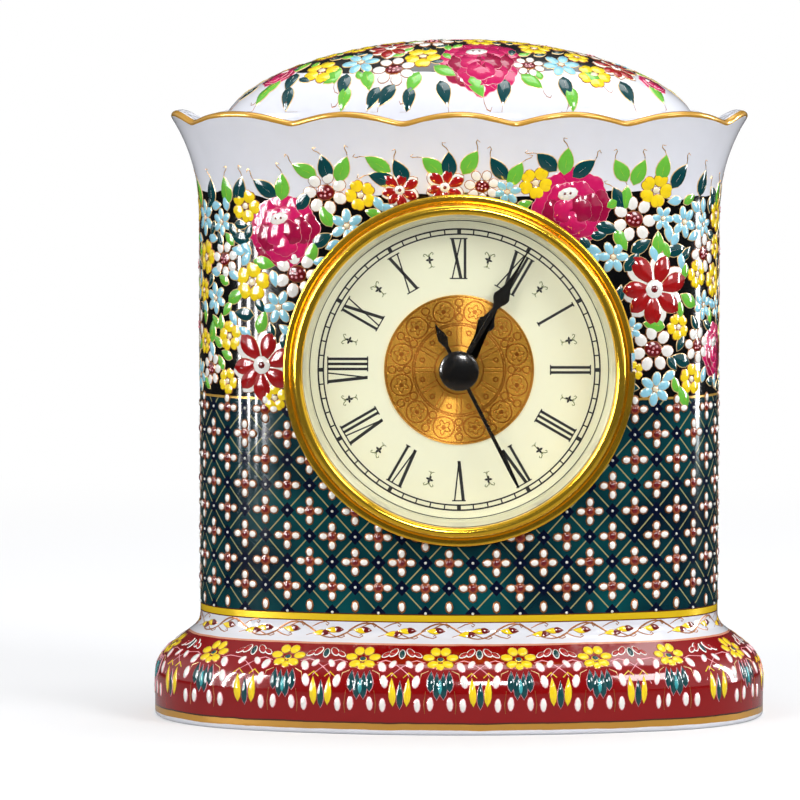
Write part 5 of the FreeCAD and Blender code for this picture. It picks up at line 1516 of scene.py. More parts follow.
@dataclass
class Lattice:
    """The staggered four-petalled flowers and dots over the teal lattice of the body."""

    skin: CaseSkin
    glaze: CaseGlaze
    high: float = 84.4
    petal_reach: float = 2.35
    petal: Triple = (0.95, 1.2, 0.4)
    petal_rim: Triple = (1.19, 1.44, 0.2)
    hidden: float = 43.5

    def seen(self, point: Vector) -> bool:
        """Return whether a place is clear of the insert's seat."""
        return point.y > 0 or math.hypot(point.x, point.z - self.skin.dial_height) > self.hidden

    def build(self) -> None:
        """Set all beads of the lattice."""
        skin, glaze = self.skin, self.glaze
        across, up = skin.plan.whole / glaze.columns / 2, glaze.row_pitch / 2
        groups: Dict[str, List[Bead]] = {
            name: [] for name in ("petals", "rims", "mounts", "hearts", "dots", "buds")
        }
        for row in range(int((self.high - glaze.lattice_low) / up) + 1):
            along = skin.along_at(glaze.lattice_low) + row * up
            if along > skin.along_at(self.high) - 1.5:
                continue
            for column in range(2 * glaze.columns):
                around = column * across - glaze.shift
                point, normal = skin.raw(around, along), skin.normal(around, along)
                if self.seen(point):
                    self.cell(groups, (around, along), (point, normal, Vector((0, 0, 1))), row, (row + column) % 2)
        for name, paint in zip(
            groups, (Paint.WHITE, Paint.BROWN, Paint.RUST, Paint.WINE, Paint.SILVER, Paint.WHITE)
        ):
            Fields.beads("lattice_" + name, groups[name], paint)

    def cell(
        self, groups: Dict[str, List[Bead]], spot: Pair, frame_at: Tuple[Vector, Vector, Vector], row: int, odd: int
    ) -> None:
        """Set one crossing: a dot, a bud on the lowest row, or a flower.

        Args:
            groups: The beads of each kind so far.
            spot: The crossing, round and along.
            frame_at: Its point, normal and up direction.
            row: Its row from the bottom.
            odd: 1 where the lattice has a dot.
        """
        point, normal, _ = frame_at
        if odd:
            groups["dots"].append((*frame_at, (0.38, 0.38, 0.3)))
        elif row == 0:
            above = (self.skin.raw(spot[0], spot[1] + 1.6), *frame_at[1:])
            groups["buds"].append((*above, (0.85, 1.4, 0.34)))
            groups["rims"].append((*above, (1.1, 1.7, 0.2)))
        else:
            groups["mounts"].append((*frame_at, (1.5, 1.5, 0.2)))
            groups["hearts"].append((*frame_at, (1.0, 1.0, 0.42)))
            for turn in (0, 90, 180, 270):
                out = heading(turn, self.petal_reach)
                petal = self.skin.raw(spot[0] + out[0], spot[1] + out[1])
                toward = (petal - point).normalized()
                groups["petals"].append((petal, normal, toward, self.petal))
                groups["rims"].append((petal, normal, toward, self.petal_rim))


class Spray:
    """Flowers and leaves that are set one by one on a surface, each in a free round space."""

    def __init__(self, name: str, surface: object, seed: int) -> None:
        """Start an empty spray.

        Args:
            name: Name of the finished piece.
            surface: The skin or dome that it is painted on.
            seed: Seed of its random places and turns.
        """
        self.surface = surface
        self.painter = Painter(name, "case", "glazed_porcelain")
        self.motifs = Motifs(self.painter, seed)
        self.chance = random.Random(seed)
        self.taken: List[Tuple[Pair, float]] = []

    def free(self, spot: Pair, reach: float) -> bool:
        """Return whether a round space is free of what is already drawn."""
        return self.surface.bare(spot, reach) and all(
            self.surface.apart(spot, place) >= reach + other for place, other in self.taken
        )

    def flower(self, kind: str, spot: Pair, size: float, lean: float, share: float) -> None:
        """Draw one flower, turned at random by up to a lean, and take its room."""
        self.motifs.draw(kind, Spot(self.surface, spot, self.chance.uniform(-lean, lean)), size)
        self.taken.append((spot, size * share))

    def fill(self, kinds: Sequence[Tuple], share: float, find: Callable[[float], Pair]) -> None:
        """Set flowers of each kind at random places, large ones first.

        Args:
            kinds: Name, size, number of tries and extra room of each kind.
            share: Room that a flower takes as a share of its size.
            find: Gives a random place for a size.
        """
        for kind, size, tries, room in kinds:
            for _ in range(tries):
                spot = find(size)
                if self.free(spot, size * share + room):
                    self.flower(kind, spot, size, 40, share)


@dataclass
class FlowerBand:
    """The crowded flowers and leaves on the black ground above the lattice."""

    skin: CaseSkin
    eye: Viewpoint
    low: float = 85.5
    high: float = 136.0
    seed: int = 7
    scale: float = 0.305
    lean: float = 15.0
    room: float = 0.82
    filled_room: float = 0.84
    leaf_room: float = 1.9
    tall_leaf: float = 7.4
    short_leaf: float = 6.2
    whisker_line: float = 200.0
    spare_leaf: float = 4.4
    spare_room: float = 1.4
    spare_tries: int = 5200
    fringe_count: int = 40
    flowers: Tuple[Tuple[str, float, float, float], ...] = (
        ("peony", 284, 231, 33), ("primrose", 246, 206, 16), ("primrose", 252, 282, 19), ("primrose", 230, 336, 15),
        ("primrose", 275, 398, 13), ("daisy", 326, 192, 20), ("daisy", 225, 259, 16), ("daisy", 297, 274, 21),
        ("primrose", 361, 195, 15), ("bluebells", 279, 307, 16), ("bluebells", 216, 298, 15),
        ("bluebells", 347, 226, 16), ("lily", 262, 365, 31), ("daisy", 212, 368, 15), ("lily", 400, 189, 17),
        ("lily", 445, 187, 17), ("daisy", 482, 186, 15), ("bluebells", 507, 191, 13), ("primrose", 535, 182, 16),
        ("peony", 572, 207, 35), ("daisy", 634, 219, 20), ("daisy", 703, 253, 17), ("daisy", 653, 349, 20),
        ("daisy", 697, 345, 16), ("primrose", 655, 190, 17), ("primrose", 697, 274, 14), ("primrose", 678, 327, 13),
        ("primrose", 691, 379, 15), ("bluebells", 684, 222, 15), ("bluebells", 613, 257, 15),
        ("bluebells", 703, 305, 14), ("bluebells", 655, 389, 16), ("lily", 654, 289, 32), ("peony", 714, 350, 25),
        ("bluebells", 222, 222, 13),
    )
    leaves: Tuple[Tuple[float, float, float, str], ...] = (
        (266, 188, -55, "TEAL"), (283, 186, 5, "GREEN"), (306, 168, -60, "GREEN"), (327, 167, -12, "TEAL"),
        (344, 169, 25, "GREEN"), (379, 163, -60, "GREEN"), (401, 169, -25, "TEAL"), (383, 178, -75, "TEAL"),
        (433, 165, -45, "GREEN"), (449, 165, 0, "TEAL"), (470, 162, 30, "GREEN"), (498, 167, -35, "TEAL"),
        (515, 172, 25, "GREEN"), (545, 161, -45, "TEAL"), (564, 161, 5, "GREEN"), (582, 168, 50, "TEAL"),
        (619, 168, -30, "GREEN"), (637, 171, 20, "GREEN"), (660, 168, 5, "GREEN"), (676, 176, 30, "TEAL"),
        (700, 182, 10, "TEAL"), (228, 190, -5, "GREEN"), (213, 191, 5, "TEAL"), (241, 190, 20, "TEAL"),
        (202, 192, -10, "GREEN"), (304, 200, 35, "TEAL"), (240, 238, -80, "TEAL"), (244, 314, -85, "TEAL"),
        (262, 322, 20, "GREEN"), (264, 263, 100, "GREEN"), (326, 216, -30, "GREEN"), (322, 240, 60, "TEAL"),
        (312, 252, 20, "GREEN"), (236, 296, 60, "GREEN"), (621, 240, 150, "GREEN"), (641, 246, 60, "TEAL"),
        (658, 243, 0, "GREEN"), (676, 250, 80, "TEAL"), (688, 300, -60, "GREEN"), (654, 325, -80, "GREEN"),
        (681, 360, -70, "TEAL"), (683, 396, -30, "GREEN"), (607, 228, 100, "TEAL"), (213, 331, 10, "GREEN"),
        (632, 262, 40, "TEAL"),
    )
    filling: Tuple[Tuple[str, float, int, float], ...] = (
        ("peony", 9.6, 70, 6.5), ("lily", 8.2, 90, 4.5), ("daisy", 6.0, 300, 1.0), ("bluebells", 5.2, 300, 0.5),
        ("primrose", 5.2, 800, 0.0), ("bluebells", 4.8, 900, 0.0), ("daisy", 4.6, 1000, 0.0),
        ("primrose", 3.9, 1400, 0.0), ("bluebells", 3.5, 1400, 0.0), ("primrose", 2.9, 1600, 0.0),
    )

    def build(self) -> None:
        """Draw the placed flowers, then fill the rest of the band all round."""
        spray = Spray("flower_band", self.skin, self.seed)
        for across, down, turn, paint in self.leaves:
            spot = self.skin.spot_of(self.eye, across, down)
            tall = down < self.whisker_line
            length = self.tall_leaf if tall else self.short_leaf
            self.centred_leaf(spray, spot, length, Paint[paint], turn, tall)
            spray.taken.append((spot, self.leaf_room))
        for kind, across, down, size in self.flowers:
            spot = self.skin.spot_of(self.eye, across, down)
            spray.flower(kind, spot, size * self.scale, self.lean, self.room)
        chance, whole = spray.chance, self.skin.plan.whole
        low, high = self.skin.along_at(self.low), self.skin.along_at(self.high)
        spray.fill(
            self.filling, self.filled_room,
            lambda size: (chance.uniform(0, whole), chance.uniform(low + size * 0.8, high - size * 0.5)),
        )
        for _ in range(self.spare_tries):
            spot = (chance.uniform(0, whole), chance.uniform(low + 1.2, high))
            if spray.free(spot, 1.0):
                turn = chance.uniform(0, 360)
                paint = chance.choice((Paint.GREEN, Paint.TEAL, Paint.BLUE))
                self.centred_leaf(spray, spot, self.spare_leaf, paint, turn, False)
                spray.taken.append((spot, self.spare_room))
        self.fringe(spray, high)
        spray.painter.finish()

    def centred_leaf(
        self, spray: Spray, spot: Pair, length: float, paint: Paint, turn: float, whisker: bool
    ) -> None:
        """Draw a leaf with its middle on a spot."""
        back = heading(turn, length / 2)
        start = Spot(self.skin, (spot[0] - back[0], spot[1] - back[1]))
        spray.motifs.leaf(start, length, paint, turn, whisker)

    def fringe(self, spray: Spray, high: float) -> None:
        """Draw the leaves that stand up from the band onto the white flare."""
        chance = spray.chance
        for index in range(self.fringe_count):
            around = self.skin.plan.whole * index / self.fringe_count + chance.uniform(-1.5, 1.5)
            along = high + chance.uniform(-3.0, -1.0)
            if not spray.free((around, along + 4.0), 1.2):
                continue
            spot = Spot(self.skin, (around, along))
            for turn, paint in ((-34, Paint.TEAL), (2, Paint.GREEN), (36, Paint.TEAL))[: chance.choice((2, 3))]:
                spray.motifs.leaf(spot, chance.uniform(6.0, 7.4), paint, turn + chance.uniform(-8, 8), True)


@dataclass
class DomeSpray:
    """The flowers on the top of the dome, with leaves and tendrils hanging onto its white skirt."""

    skin: CaseSkin
    eye: Viewpoint
    seed: int = 19
    scale: float = 0.30
    lean: float = 10.0
    room: float = 0.72
    filled_room: float = 0.80
    leaf_rise: float = 9.0
    leaf: float = 6.6
    leaf_room: float = 1.4
    spare_leaf: float = 3.6
    spare_room: float = 1.5
    spare_tries: int = 1500
    skirt_leaf: float = 6.0
    skirt_reach: float = 0.87
    skirt_count: int = 34
    flowers: Tuple[Tuple[str, float, float, float], ...] = (
        ("peony", 481, 60, 38), ("primrose", 322, 71, 18), ("primrose", 423, 57, 18), ("primrose", 534, 49, 16),
        ("primrose", 594, 75, 17), ("bluebells", 361, 63, 18), ("bluebells", 561, 65, 18), ("daisy", 394, 70, 19),
        ("daisy", 529, 66, 14), ("lily", 391, 49, 20), ("lily", 616, 69, 20), ("peony", 281, 76, 18),
        ("peony", 652, 84, 14),
    )
    leaves: Tuple[Tuple[float, float, float, str], ...] = (
        (258, 93, 215, "TEAL"), (281, 90, 195, "GREEN"), (297, 83, 165, "TEAL"), (336, 76, 165, "GREEN"),
        (347, 84, 180, "TEAL"), (366, 80, 160, "GREEN"), (395, 95, 215, "TEAL"), (419, 82, 200, "GREEN"),
        (434, 76, 120, "GREEN"), (440, 90, 160, "TEAL"), (505, 89, 190, "TEAL"), (521, 84, 130, "GREEN"),
        (563, 86, 180, "TEAL"), (582, 80, 140, "GREEN"), (620, 91, 170, "TEAL"), (650, 94, 195, "GREEN"),
        (664, 92, 150, "TEAL"), (310, 72, 150, "GREEN"), (470, 86, 150, "GREEN"),
    )
    filling: Tuple[Tuple[str, float, int, float], ...] = (
        ("peony", 9.4, 50, 6.0), ("lily", 7.6, 80, 4.0), ("daisy", 5.8, 200, 0.8), ("primrose", 5.2, 400, 0.0),
        ("bluebells", 4.8, 600, 0.0), ("primrose", 3.8, 900, 0.0), ("bluebells", 3.4, 900, 0.0),
    )

    def build(self) -> None:
        """Draw the placed flowers, then fill the dome all round."""
        top = DomeTop(self.skin)
        spray = Spray("dome_spray", top, self.seed)
        chance, plan = spray.chance, self.skin.plan
        for across, down, turn, paint in self.leaves:
            spot = top.spot_of(self.eye, across, down - self.leaf_rise)
            if spot:
                self.hanging_leaf(spray.motifs, Spot(top, spot), turn, Paint[paint], self.leaf)
                spray.taken.append((spot, self.leaf_room))
        for kind, across, down, size in self.flowers:
            spot = top.spot_of(self.eye, across, down)
            if spot:
                spray.flower(kind, spot, size * self.scale, self.lean, self.room)
        spray.fill(self.filling, self.filled_room, lambda size: self.random_spot(chance, 0.8))
        for _ in range(self.spare_tries):
            spot = self.random_spot(chance, 0.82)
            if spray.free(spot, 1.2):
                paint = chance.choice((Paint.GREEN, Paint.TEAL))
                spray.motifs.leaf(Spot(top, spot), self.spare_leaf, paint, chance.uniform(0, 360))
                spray.taken.append((spot, self.spare_room))
        for index in range(self.skirt_count):
            angle = plan.angle_at(plan.whole * (index + 0.5) / self.skirt_count)
            spot = plan.point(angle, -self.skin.dome_inset, self.skirt_reach)
            if spray.free(spot, 1.0):
                turn, paint = 180 + chance.uniform(-25, 25), chance.choice((Paint.GREEN, Paint.TEAL))
                self.hanging_leaf(spray.motifs, Spot(top, spot), turn, paint, self.skirt_leaf)
        spray.painter.finish()

    def random_spot(self, chance: random.Random, limit: float) -> Pair:
        """Return an even random place of the dome inside a share of its plan."""
        angle = self.skin.plan.angle_at(chance.uniform(0, self.skin.plan.whole))
        return self.skin.plan.point(angle, -self.skin.dome_inset, limit * math.sqrt(chance.random()))

    def hanging_leaf(self, motifs: Motifs, spot: Spot, turn: float, paint: Paint, length: float) -> None:
        """Draw a leaf with a curled tendril at its tip."""
        motifs.leaf(spot, length, paint, turn)
        x, y = heading(turn, length)
        side = 1.0 if turn < 180 else -1.0
        curl = ((0.0, 0.0), (0.25, -1.1), (0.9, -2.0), (1.8, -2.2), (2.2, -1.6))
        motifs.painter.line(spot, [(x + out * side, y + up) for out, up in curl], 0.24, Paint.BROWN)


@dataclass
class PlinthBands:
    """The pendant border on the red band and the vine on the white band of the plinth."""

    skin: CaseSkin
    motifs: int = 18
    start: float = 14.5
    base: float = 17.7
    vine_height: float = 25.3
    grow: float = 1.12
    half_pitch: float = 9.46

    def build(self) -> None:
        """Draw both bands all round."""
        painter = Painter("plinth_bands", "case", "glazed_porcelain")
        plan, origin = self.skin.plan, self.skin.along_at(self.base)
        offset = self.skin.section_at(origin)[0]
        for index in range(self.motifs):
            around = self.start + plan.whole * index / self.motifs
            radius = plan.arc(plan.angle_at(around))[2]
            widen = (radius + offset) / radius / self.grow
            self.pendants(painter, Spot(self.skin, (around, origin), grow=self.grow), self.half_pitch * widen)
        self.vine(painter)
        painter.finish()

    def pendants(self, painter: Painter, spot: Spot, half: float) -> None:
        """Draw one flower with its pendants and half of each neighbour's sprays.

        Args:
            painter: Takes the shapes.
            spot: Middle of the motif.
            half: Half the distance to the next motif.
        """
        patch, line = painter.patch, painter.line
        patch(spot, oval(0.0, -0.5, 0.9, 0.9), Paint.YELLOW, Paint.BROWN, edge=0.26)
        patch(spot, oval(0, 1.7, 0.75, 0.7, 0, 8), Paint.TEAL, Paint.YELLOW, lift=0.22)
        patch(spot, drop(0.0, -3.6, 3.6, 0.42, 180), Paint.TURQUOISE, edge=0.1, lift=0.24)
        for side in (-1, 1):
            for x, y, wide, tall, turn in (
                (1.15, 4.2, 1.15, 1.35, 12), (2.75, 2.3, 1.35, 1.05, -10), (1.7, 0.2, 1.3, 1.0, 25),
            ):
                patch(spot, oval(side * x, y, wide, tall, side * turn), Paint.YELLOW, Paint.BROWN, edge=0.26)
            for x, top, length, turn in ((2.0, -1.7, 5.0, 2), (0.75, -2.0, 6.4, 0)):
                patch(spot, drop(side * x, top, length, 0.85, 180 - side * turn), Paint.TEAL, Paint.ROSE)
            for x, y, wide, tall, turn in (
                (4.7, -0.6, 0.8, 1.35, -24), (5.4, -4.3, 0.75, 1.45, -12), (2.2, -9.4, 0.62, 1.5, -3),
                (5.1, -9.7, 0.62, 1.5, 0), (half - 1.9, 0.2, 0.62, 1.1, 30),
            ):
                patch(spot, oval(side * x, y, wide, tall, side * turn), Paint.WHITE, Paint.ROSE, edge=0.24)
            for x, y, wide, tall, turn, edge in ((2.0, 3.9, 0.7, 1.35, 32, 0.32), (3.7, 3.2, 0.55, 1.1, 50, 0.28)):
                petal = oval(side * (half - x), y, wide, tall, side * turn)
                patch(spot, petal, Paint.RED, Paint.WHITE, edge=edge)
            patch(spot, drop(side * (half - 1.9), -3.4, 6.6, 0.8, 180 - side * 3), Paint.YELLOW, Paint.BROWN)
            for points, width, paint, lift in (
                (((half - 3.2, -3.4), (half - 1.9, -2.2), (half - 0.7, -3.4)), 0.4, Paint.YELLOW, 0.2),
                (
                    (
                        (3.4, 0.6), (5.4, 1.4), (half - 2.2, 0.9), (half, -0.9), (half + 1.8, -2.6),
                        (half + 3.2, -5.4),
                    ),
                    0.4, Paint.ROSE, 0.1,
                ),
                (((2.6, -1.6), (4.2, -2.4), (4.6, -4.4)), 0.3, Paint.SAND, 0.1),
                (((3.2, -6.4), (3.6, -9.6), (3.4, -11.6)), 0.3, Paint.BROWN, 0.1),
            ):
                line(spot, [(side * x, y) for x, y in points], width, paint, lift)
        patch(spot, oval(half, 3.4, 0.62, 1.35), Paint.TEAL, Paint.WHITE, edge=0.32)
        patch(spot, drop(half, -4.2, 6.4, 0.75, 180), Paint.TEAL, Paint.ROSE)

    def vine(self, painter: Painter) -> None:
        """Draw the gold vine with its yellow and red buds."""
        centre = self.skin.along_at(self.vine_height)
        pitch = self.skin.plan.whole / self.motifs
        wave = [(pitch * 1.02 * (step / 16 - 0.5), 2.1 * math.sin(math.tau * step / 16)) for step in range(17)]
        for index in range(self.motifs):
            spot = Spot(self.skin, (pitch * index, centre))
            painter.line(spot, wave, 0.55, Paint.BROWN, 0.09)
            for x, y, turn in ((-8.4, 0.3, 96), (-0.2, -0.9, 84), (3.2, 0.2, 92)):
                out, up = heading(turn, 2.5)
                red = drop(x + out + 2.4, y + up + 0.1, 2.9, 0.74, turn + 180)
                painter.line(spot, [(x - 1.6, y - 0.6), (x, y)], 0.4, Paint.BROWN, 0.08)
                painter.patch(spot, drop(x, y, 3.8, 0.74, turn), Paint.YELLOW, Paint.BROWN, edge=0.14, lift=0.08)
                painter.patch(spot, red, Paint.WINE, Paint.BROWN, edge=0.14, lift=0.1)
            for x, y, side in ((-8.6, -1.4, -1), (-5.2, 1.6, 1), (1.2, 1.8, 1), (5.6, -1.6, -1)):
                bends = ((-1.6, -0.9), (0.4, 0.1), (2.0, 0.5), (2.9, 0.0), (2.4, -0.5), (2.0, -0.1))
                painter.line(spot, [(x + out, y + up * side) for out, up in bends], 0.42, Paint.BROWN, 0.08)


# ---------------------------------------------------------------- the insert


@dataclass
class Insert:
    """The round quartz insert: gilt bezel, domed lens, sloping ring, printed dial and black hands."""

    stack: float = 41.0
    lens_bulge: float = 2.0
    notch_angle: float = 57.2
    track_radius: float = 35.4
    numeral_radius: float = 28.5
    numeral_half: float = 5.1
    sprig_radius: float = 29.0
    seconds_angle: float = 123.0
    hand_sheet: float = 0.4
    gilt: Finish = Finish(
        "gilt_bezel", srgb(255, 204, 58), rough=0.14, metal=0.88, scale=700.0, spread=0.05, bump=0.03
    )
    acrylic: Finish = Finish(
        "clear_lens", (1.0, 1.0, 1.0, 1.0), rough=0.0, transmission=1.0, ior=1.46, tone=0.0, spread=0.0
    )
    slope: Finish = Finish("pale_reflector", srgb(236, 234, 208), rough=0.08, metal=0.45, scale=500.0, tone=0.06)
    black: Finish = Finish("black_lacquer", srgb(10, 10, 11), rough=0.18, coat=0.5, scale=1200.0, tone=0.3)

    def adopt(self, piece: Thing, finish: Finish, body: str, node: str) -> None:
        """Dress a piece and let it stand for its CAD node."""
        piece.data.materials.clear()
        piece.data.materials.append(finish.build())
        attach(piece, body, node)

    def bezel(self) -> None:
        """Turn the bezel: flange, groove, rounded moulding and crimped skirt, with the pry notch."""
        section = [(41.4, -0.1), (44.85, -0.1), (45.0, -0.25), (45.0, -1.7)]
        section += [(44.4 + 0.6 * math.cos(t), -1.8 - 0.6 * math.sin(t)) for t in (0.5, 1.0, 1.3)]
        section += [(44.2, -2.4), (43.4, -2.38), (43.25, -2.25), (43.2, -1.75), (43.1, -1.7), (42.6, -1.7)]
        section += [(42.5, -1.85), (42.5, -5.6)]
        skirt = [math.pi * step / 12 for step in range(13)]
        section += [(41.2 + 1.3 * math.cos(t), -5.9 - 1.3 * math.sin(t)) for t in skirt]
        section += [(39.9, -4.7), (39.98, -4.62), (41.0, -4.6), (41.0, 4.95), (40.3, 4.95), (40.3, 5.35)]
        section.append((41.4, 5.35))
        ring = Meshes.lathe("gilt_bezel", section, 240)
        face = DialFace(0.0)
        corners = turned([(-2.4, 43.6), (-2.4, 46.4), (2.4, 46.4), (2.4, 43.6)], 0.0, 0.0, self.notch_angle)
        tool = Meshes.grid("notch_tool", [[face.place(c, (0, 0), lift) for c in corners] for lift in (-0.5, 3.0)])
        Meshes.outwards(tool.data)
        Meshes.cut(ring, tool, "DIFFERENCE")
        Meshes.edges(ring, 32.0)
        self.adopt(ring, self.gilt, "insert", "bezel")

    def lens(self) -> None:
        """Turn the domed lens and let light through it as plain daylight."""
        edge = self.stack - 0.05
        radii = [edge * math.sin(step * math.pi / 32) for step in range(16, -1, -1)]

        def dome(radius: float, rim: float) -> Pair:
            """Return a place of the section, in front of its rim."""
            return radius, rim - self.lens_bulge * (1 - (radius / edge) ** 2)

        section = [(edge, -3.0), (edge, -4.4)] + [dome(r, -4.4) for r in radii[1:]]
        lens = Meshes.lathe("domed_lens", section + [dome(r, -3.0) for r in radii[:0:-1]], 160)
        Meshes.edges(lens, 30.0)
        self.adopt(lens, self.acrylic, "insert", "lens")
        kit = NodeKit(lens.data.materials[0].node_tree)
        path = kit.add("ShaderNodeLightPath").outputs
        through = kit.add("ShaderNodeBsdfTransparent").outputs[0]
        shine = kit.add("ShaderNodeBsdfGlossy", {"Roughness": 0.0}).outputs[0]
        gloss = kit.add("ShaderNodeFresnel", {"IOR": self.acrylic.ior}).outputs[0]
        back = kit.add("ShaderNodeNewGeometry").outputs["Backfacing"]
        front = kit.most(kit.math("SUBTRACT", path["Is Camera Ray"], back), 0.0)
        sheet = kit.blend(kit.math("MULTIPLY", gloss, front), through, shine)
        direct = kit.most(path["Is Shadow Ray"], path["Is Diffuse Ray"], path["Is Camera Ray"])
        glass = kit.tree.nodes["Principled BSDF"].outputs[0]
        kit.feed(kit.tree.nodes["Material Output"], {"Surface": kit.blend(direct, glass, sheet)})

    def slope_ring(self) -> None:
        """Turn the sloping ring between the lens and the dial."""
        section = [(40.95, -2.6), (40.0, -2.6), (39.9, -2.5), (38.55, 2.0), (38.5, 2.1), (40.95, 2.1)]
        ring = Meshes.lathe("sloping_ring", section)
        Meshes.edges(ring, 30.0)
        self.adopt(ring, self.slope, "insert", "reflector_ring")

    def print_dial(self) -> None:
        """Print the numerals, the half-hour sprigs and the minute track."""
        painter = Painter("dial_print", "insert", "cream_paint")
        face = DialFace(2.1)
        for hour in range(1, 13):
            turn = 30.0 * hour
            self.numeral(painter, Spot(face, heading(turn, self.numeral_radius), turn), hour)
            self.sprig(painter, Spot(face, heading(turn - 15.0, self.sprig_radius), turn - 15.0))
        flat, count = Spot(face, (0.0, 0.0)), 180
        for radius, width in ((36.05, 0.42), (34.75, 0.38), (38.25, 0.22)):
            start = len(painter.points)
            for index, angle in enumerate(circle(count)):
                for reach in (radius + width / 2, radius - width / 2):
                    painter.points.append(flat.put((reach * math.sin(angle), reach * math.cos(angle)), 0.05))
                one, two = start + 2 * index, start + 2 * ((index + 1) % count)
                painter.faces.append((one, one + 1, two + 1, two))
                painter.paints.append(Paint.INK)
        piece = painter.finish(smooth=False)

        def face_front(work: bmesh.types.BMesh) -> None:
            """Turn the print's faces to the front."""
            for item in work.faces:
                if item.normal.y > 0.5:
                    item.normal_flip()

        Meshes.rework(piece.data, face_front)
        for name, count, size in (("minute_bars", 60, (1.2, 0.34, 0.1)), ("hour_bars", 12, (1.2, 1.0, 0.12))):
            values = {
                "Count": count, "Radius": self.track_radius * MM, "Bar": tuple(v * MM for v in size),
                "Paint": Paint.INK.value.build(),
            }
            bars = Fields.run(name, bpy.data.meshes.new(name + "_seed"), Fields.bar_tree(), values)
            stand = Matrix.Translation(face.place((0, 0), (0, 0), 0.02) * MM)
            bars.data.transform(stand @ Matrix.Rotation(math.radians(90), 4, "X"))
            attach(bars, "insert")

    def numeral(self, painter: Painter, spot: Spot, hour: int) -> None:
        """Print one Roman numeral, its top outwards."""
        text = ("I", "II", "III", "IV", "V", "VI", "VII", "VIII", "IX", "X", "XI", "XII")[hour - 1]
        high, serif, serif_half = self.numeral_half, 0.62, 0.16
        letters = {
            "I": (1.3, 0.0, ((0, 0, 0.34),)),
            "V": (3.0, 1.12, ((-1, 0, 0.41), (1, 0, 0.18))),
            "X": (3.0, 1.12, ((-1, 1, 0.41), (1, -1, 0.18))),
        }

        def bar(low: Pair, top: Pair, half: float) -> None:
            """Print one straight bar between the middles of its two ends."""
            corners = [(low[0] + side * half, low[1]) for side in (-1, 1)]
            corners += [(top[0] + side * half, top[1]) for side in (1, -1)]
            painter.patch(spot, corners, Paint.INK, edge=0.02, lift=0.05, crown=0.0)

        left = -sum(letters[letter][0] for letter in text) / 2
        for letter in text:
            wide, reach, strokes = letters[letter]
            middle = left + wide / 2
            for above, below, half in strokes:
                bar((middle + below * reach, -high), (middle + above * reach, high), half)
            for level in (high,) if letter == "V" else (-high, high):
                bar((middle, level - serif_half), (middle, level + serif_half), reach + serif)
            left += wide

    def sprig(self, painter: Painter, spot: Spot) -> None:
        """Print a half-hour sprig: a small star between curled olive stalks."""
        painter.line(spot, [(0, -2.0), (0.1, -0.7), (0, 1.0), (0, 1.6)], 0.42, Paint.OLIVE, 0.04)
        for side in (-1, 1):
            curl = [(0, 0.8), (side * 0.5, 1.6), (side * 1.05, 1.9), (side * 1.3, 1.5), (side * 1.0, 1.2)]
            painter.line(spot, curl, 0.42, Paint.OLIVE, 0.04)
            painter.line(spot, [(0, -1.4), (side * 0.4, -1.9), (side * 0.8, -1.9)], 0.36, Paint.OLIVE, 0.04)
        for turn in (10, 100, 190, 280):
            ray = blade(0, 0.1, 1.05, 0.3, turn, 3)
            painter.patch(spot, ray, Paint.INK, edge=0.02, lift=0.06, crown=0.0)

    def hand(self, name: str, outline: Outline, rear: float, turn: float, body: str) -> None:
        """Cut one hand from sheet with softened edges and let it stand for its CAD node.

        Args:
            name: Name of the piece.
            outline: Its outline, pointing up.
            rear: Depth of its rear face behind the bezel's seat.
            turn: Its angle at rest.
            body: The body that it rides on, which also names its node.
        """
        face, thick, count = DialFace(0.0), self.hand_sheet, len(outline)
        soft = thick * 0.3
        work = bmesh.new()
        rings = []
        for depth, shrink in ((rear, 0.0), (rear - thick + soft, 0.0), (rear - thick, soft)):
            places = []
            for index, (x, z) in enumerate(outline):
                before, after = outline[index - 1], outline[(index + 1) % count]
                dx, dz = after[0] - before[0], after[1] - before[1]
                size = math.hypot(dx, dz) or 1.0
                places.append((x - dz / size * shrink, z + dx / size * shrink))
            places = turned(places, 0.0, 0.0, turn)
            rings.append([work.verts.new(face.place(place, (0, 0), -depth) * MM) for place in places])
        for one, two in zip(rings, rings[1:]):
            for index in range(count):
                after = (index + 1) % count
                work.faces.new((one[index], one[after], two[after], two[index]))
        for ring in (rings[0], rings[-1]):
            work.faces.new(ring)
        bmesh.ops.triangulate(work, faces=[f for f in work.faces if len(f.verts) > 4])
        mesh = bpy.data.meshes.new(name)
        work.to_mesh(mesh)
        work.free()
        Meshes.outwards(mesh)
        self.adopt(linked(name, mesh), self.black, body, body + "_hand")

    @staticmethod
    def both_sides(side: Outline) -> Outline:
        """Return a closed outline from its right side, counter-clockwise."""
        return side + [(-x, y) for x, y in reversed(side) if x > 1e-6]

    def spade(self, length: float, at: float, bulge: float, stem: float) -> Outline:
        """Return the outline of a spade hand that points up.

        Args:
            length: Length from the axis to the tip.
            at: Where the spade is widest.
            bulge: Half its width there.
            stem: Half the width of the stem.

        Returns:
            The closed outline.
        """
        half, hub = 2.9, 3.4
        side = [heading(180 - angle, hub) for angle in range(0, 165, 12)]
        side += [(stem, hub + 0.6), (stem, at - half - 0.6), (stem + 0.25, at - half)]
        for share in (step / 5 for step in range(1, 6)):
            side.append((lerp(stem, bulge, math.sin(math.pi / 2 * share)), at - half + half * share))
        for share in (step / 8 for step in range(1, 9)):
            wide = lerp(bulge * (1 - share) ** 1.7, 0.42 * (1 - share) + 0.18, min(share * 1.5, 1.0))
            side.append((wide, lerp(at, length, share**1.15)))
        return self.both_sides(side)

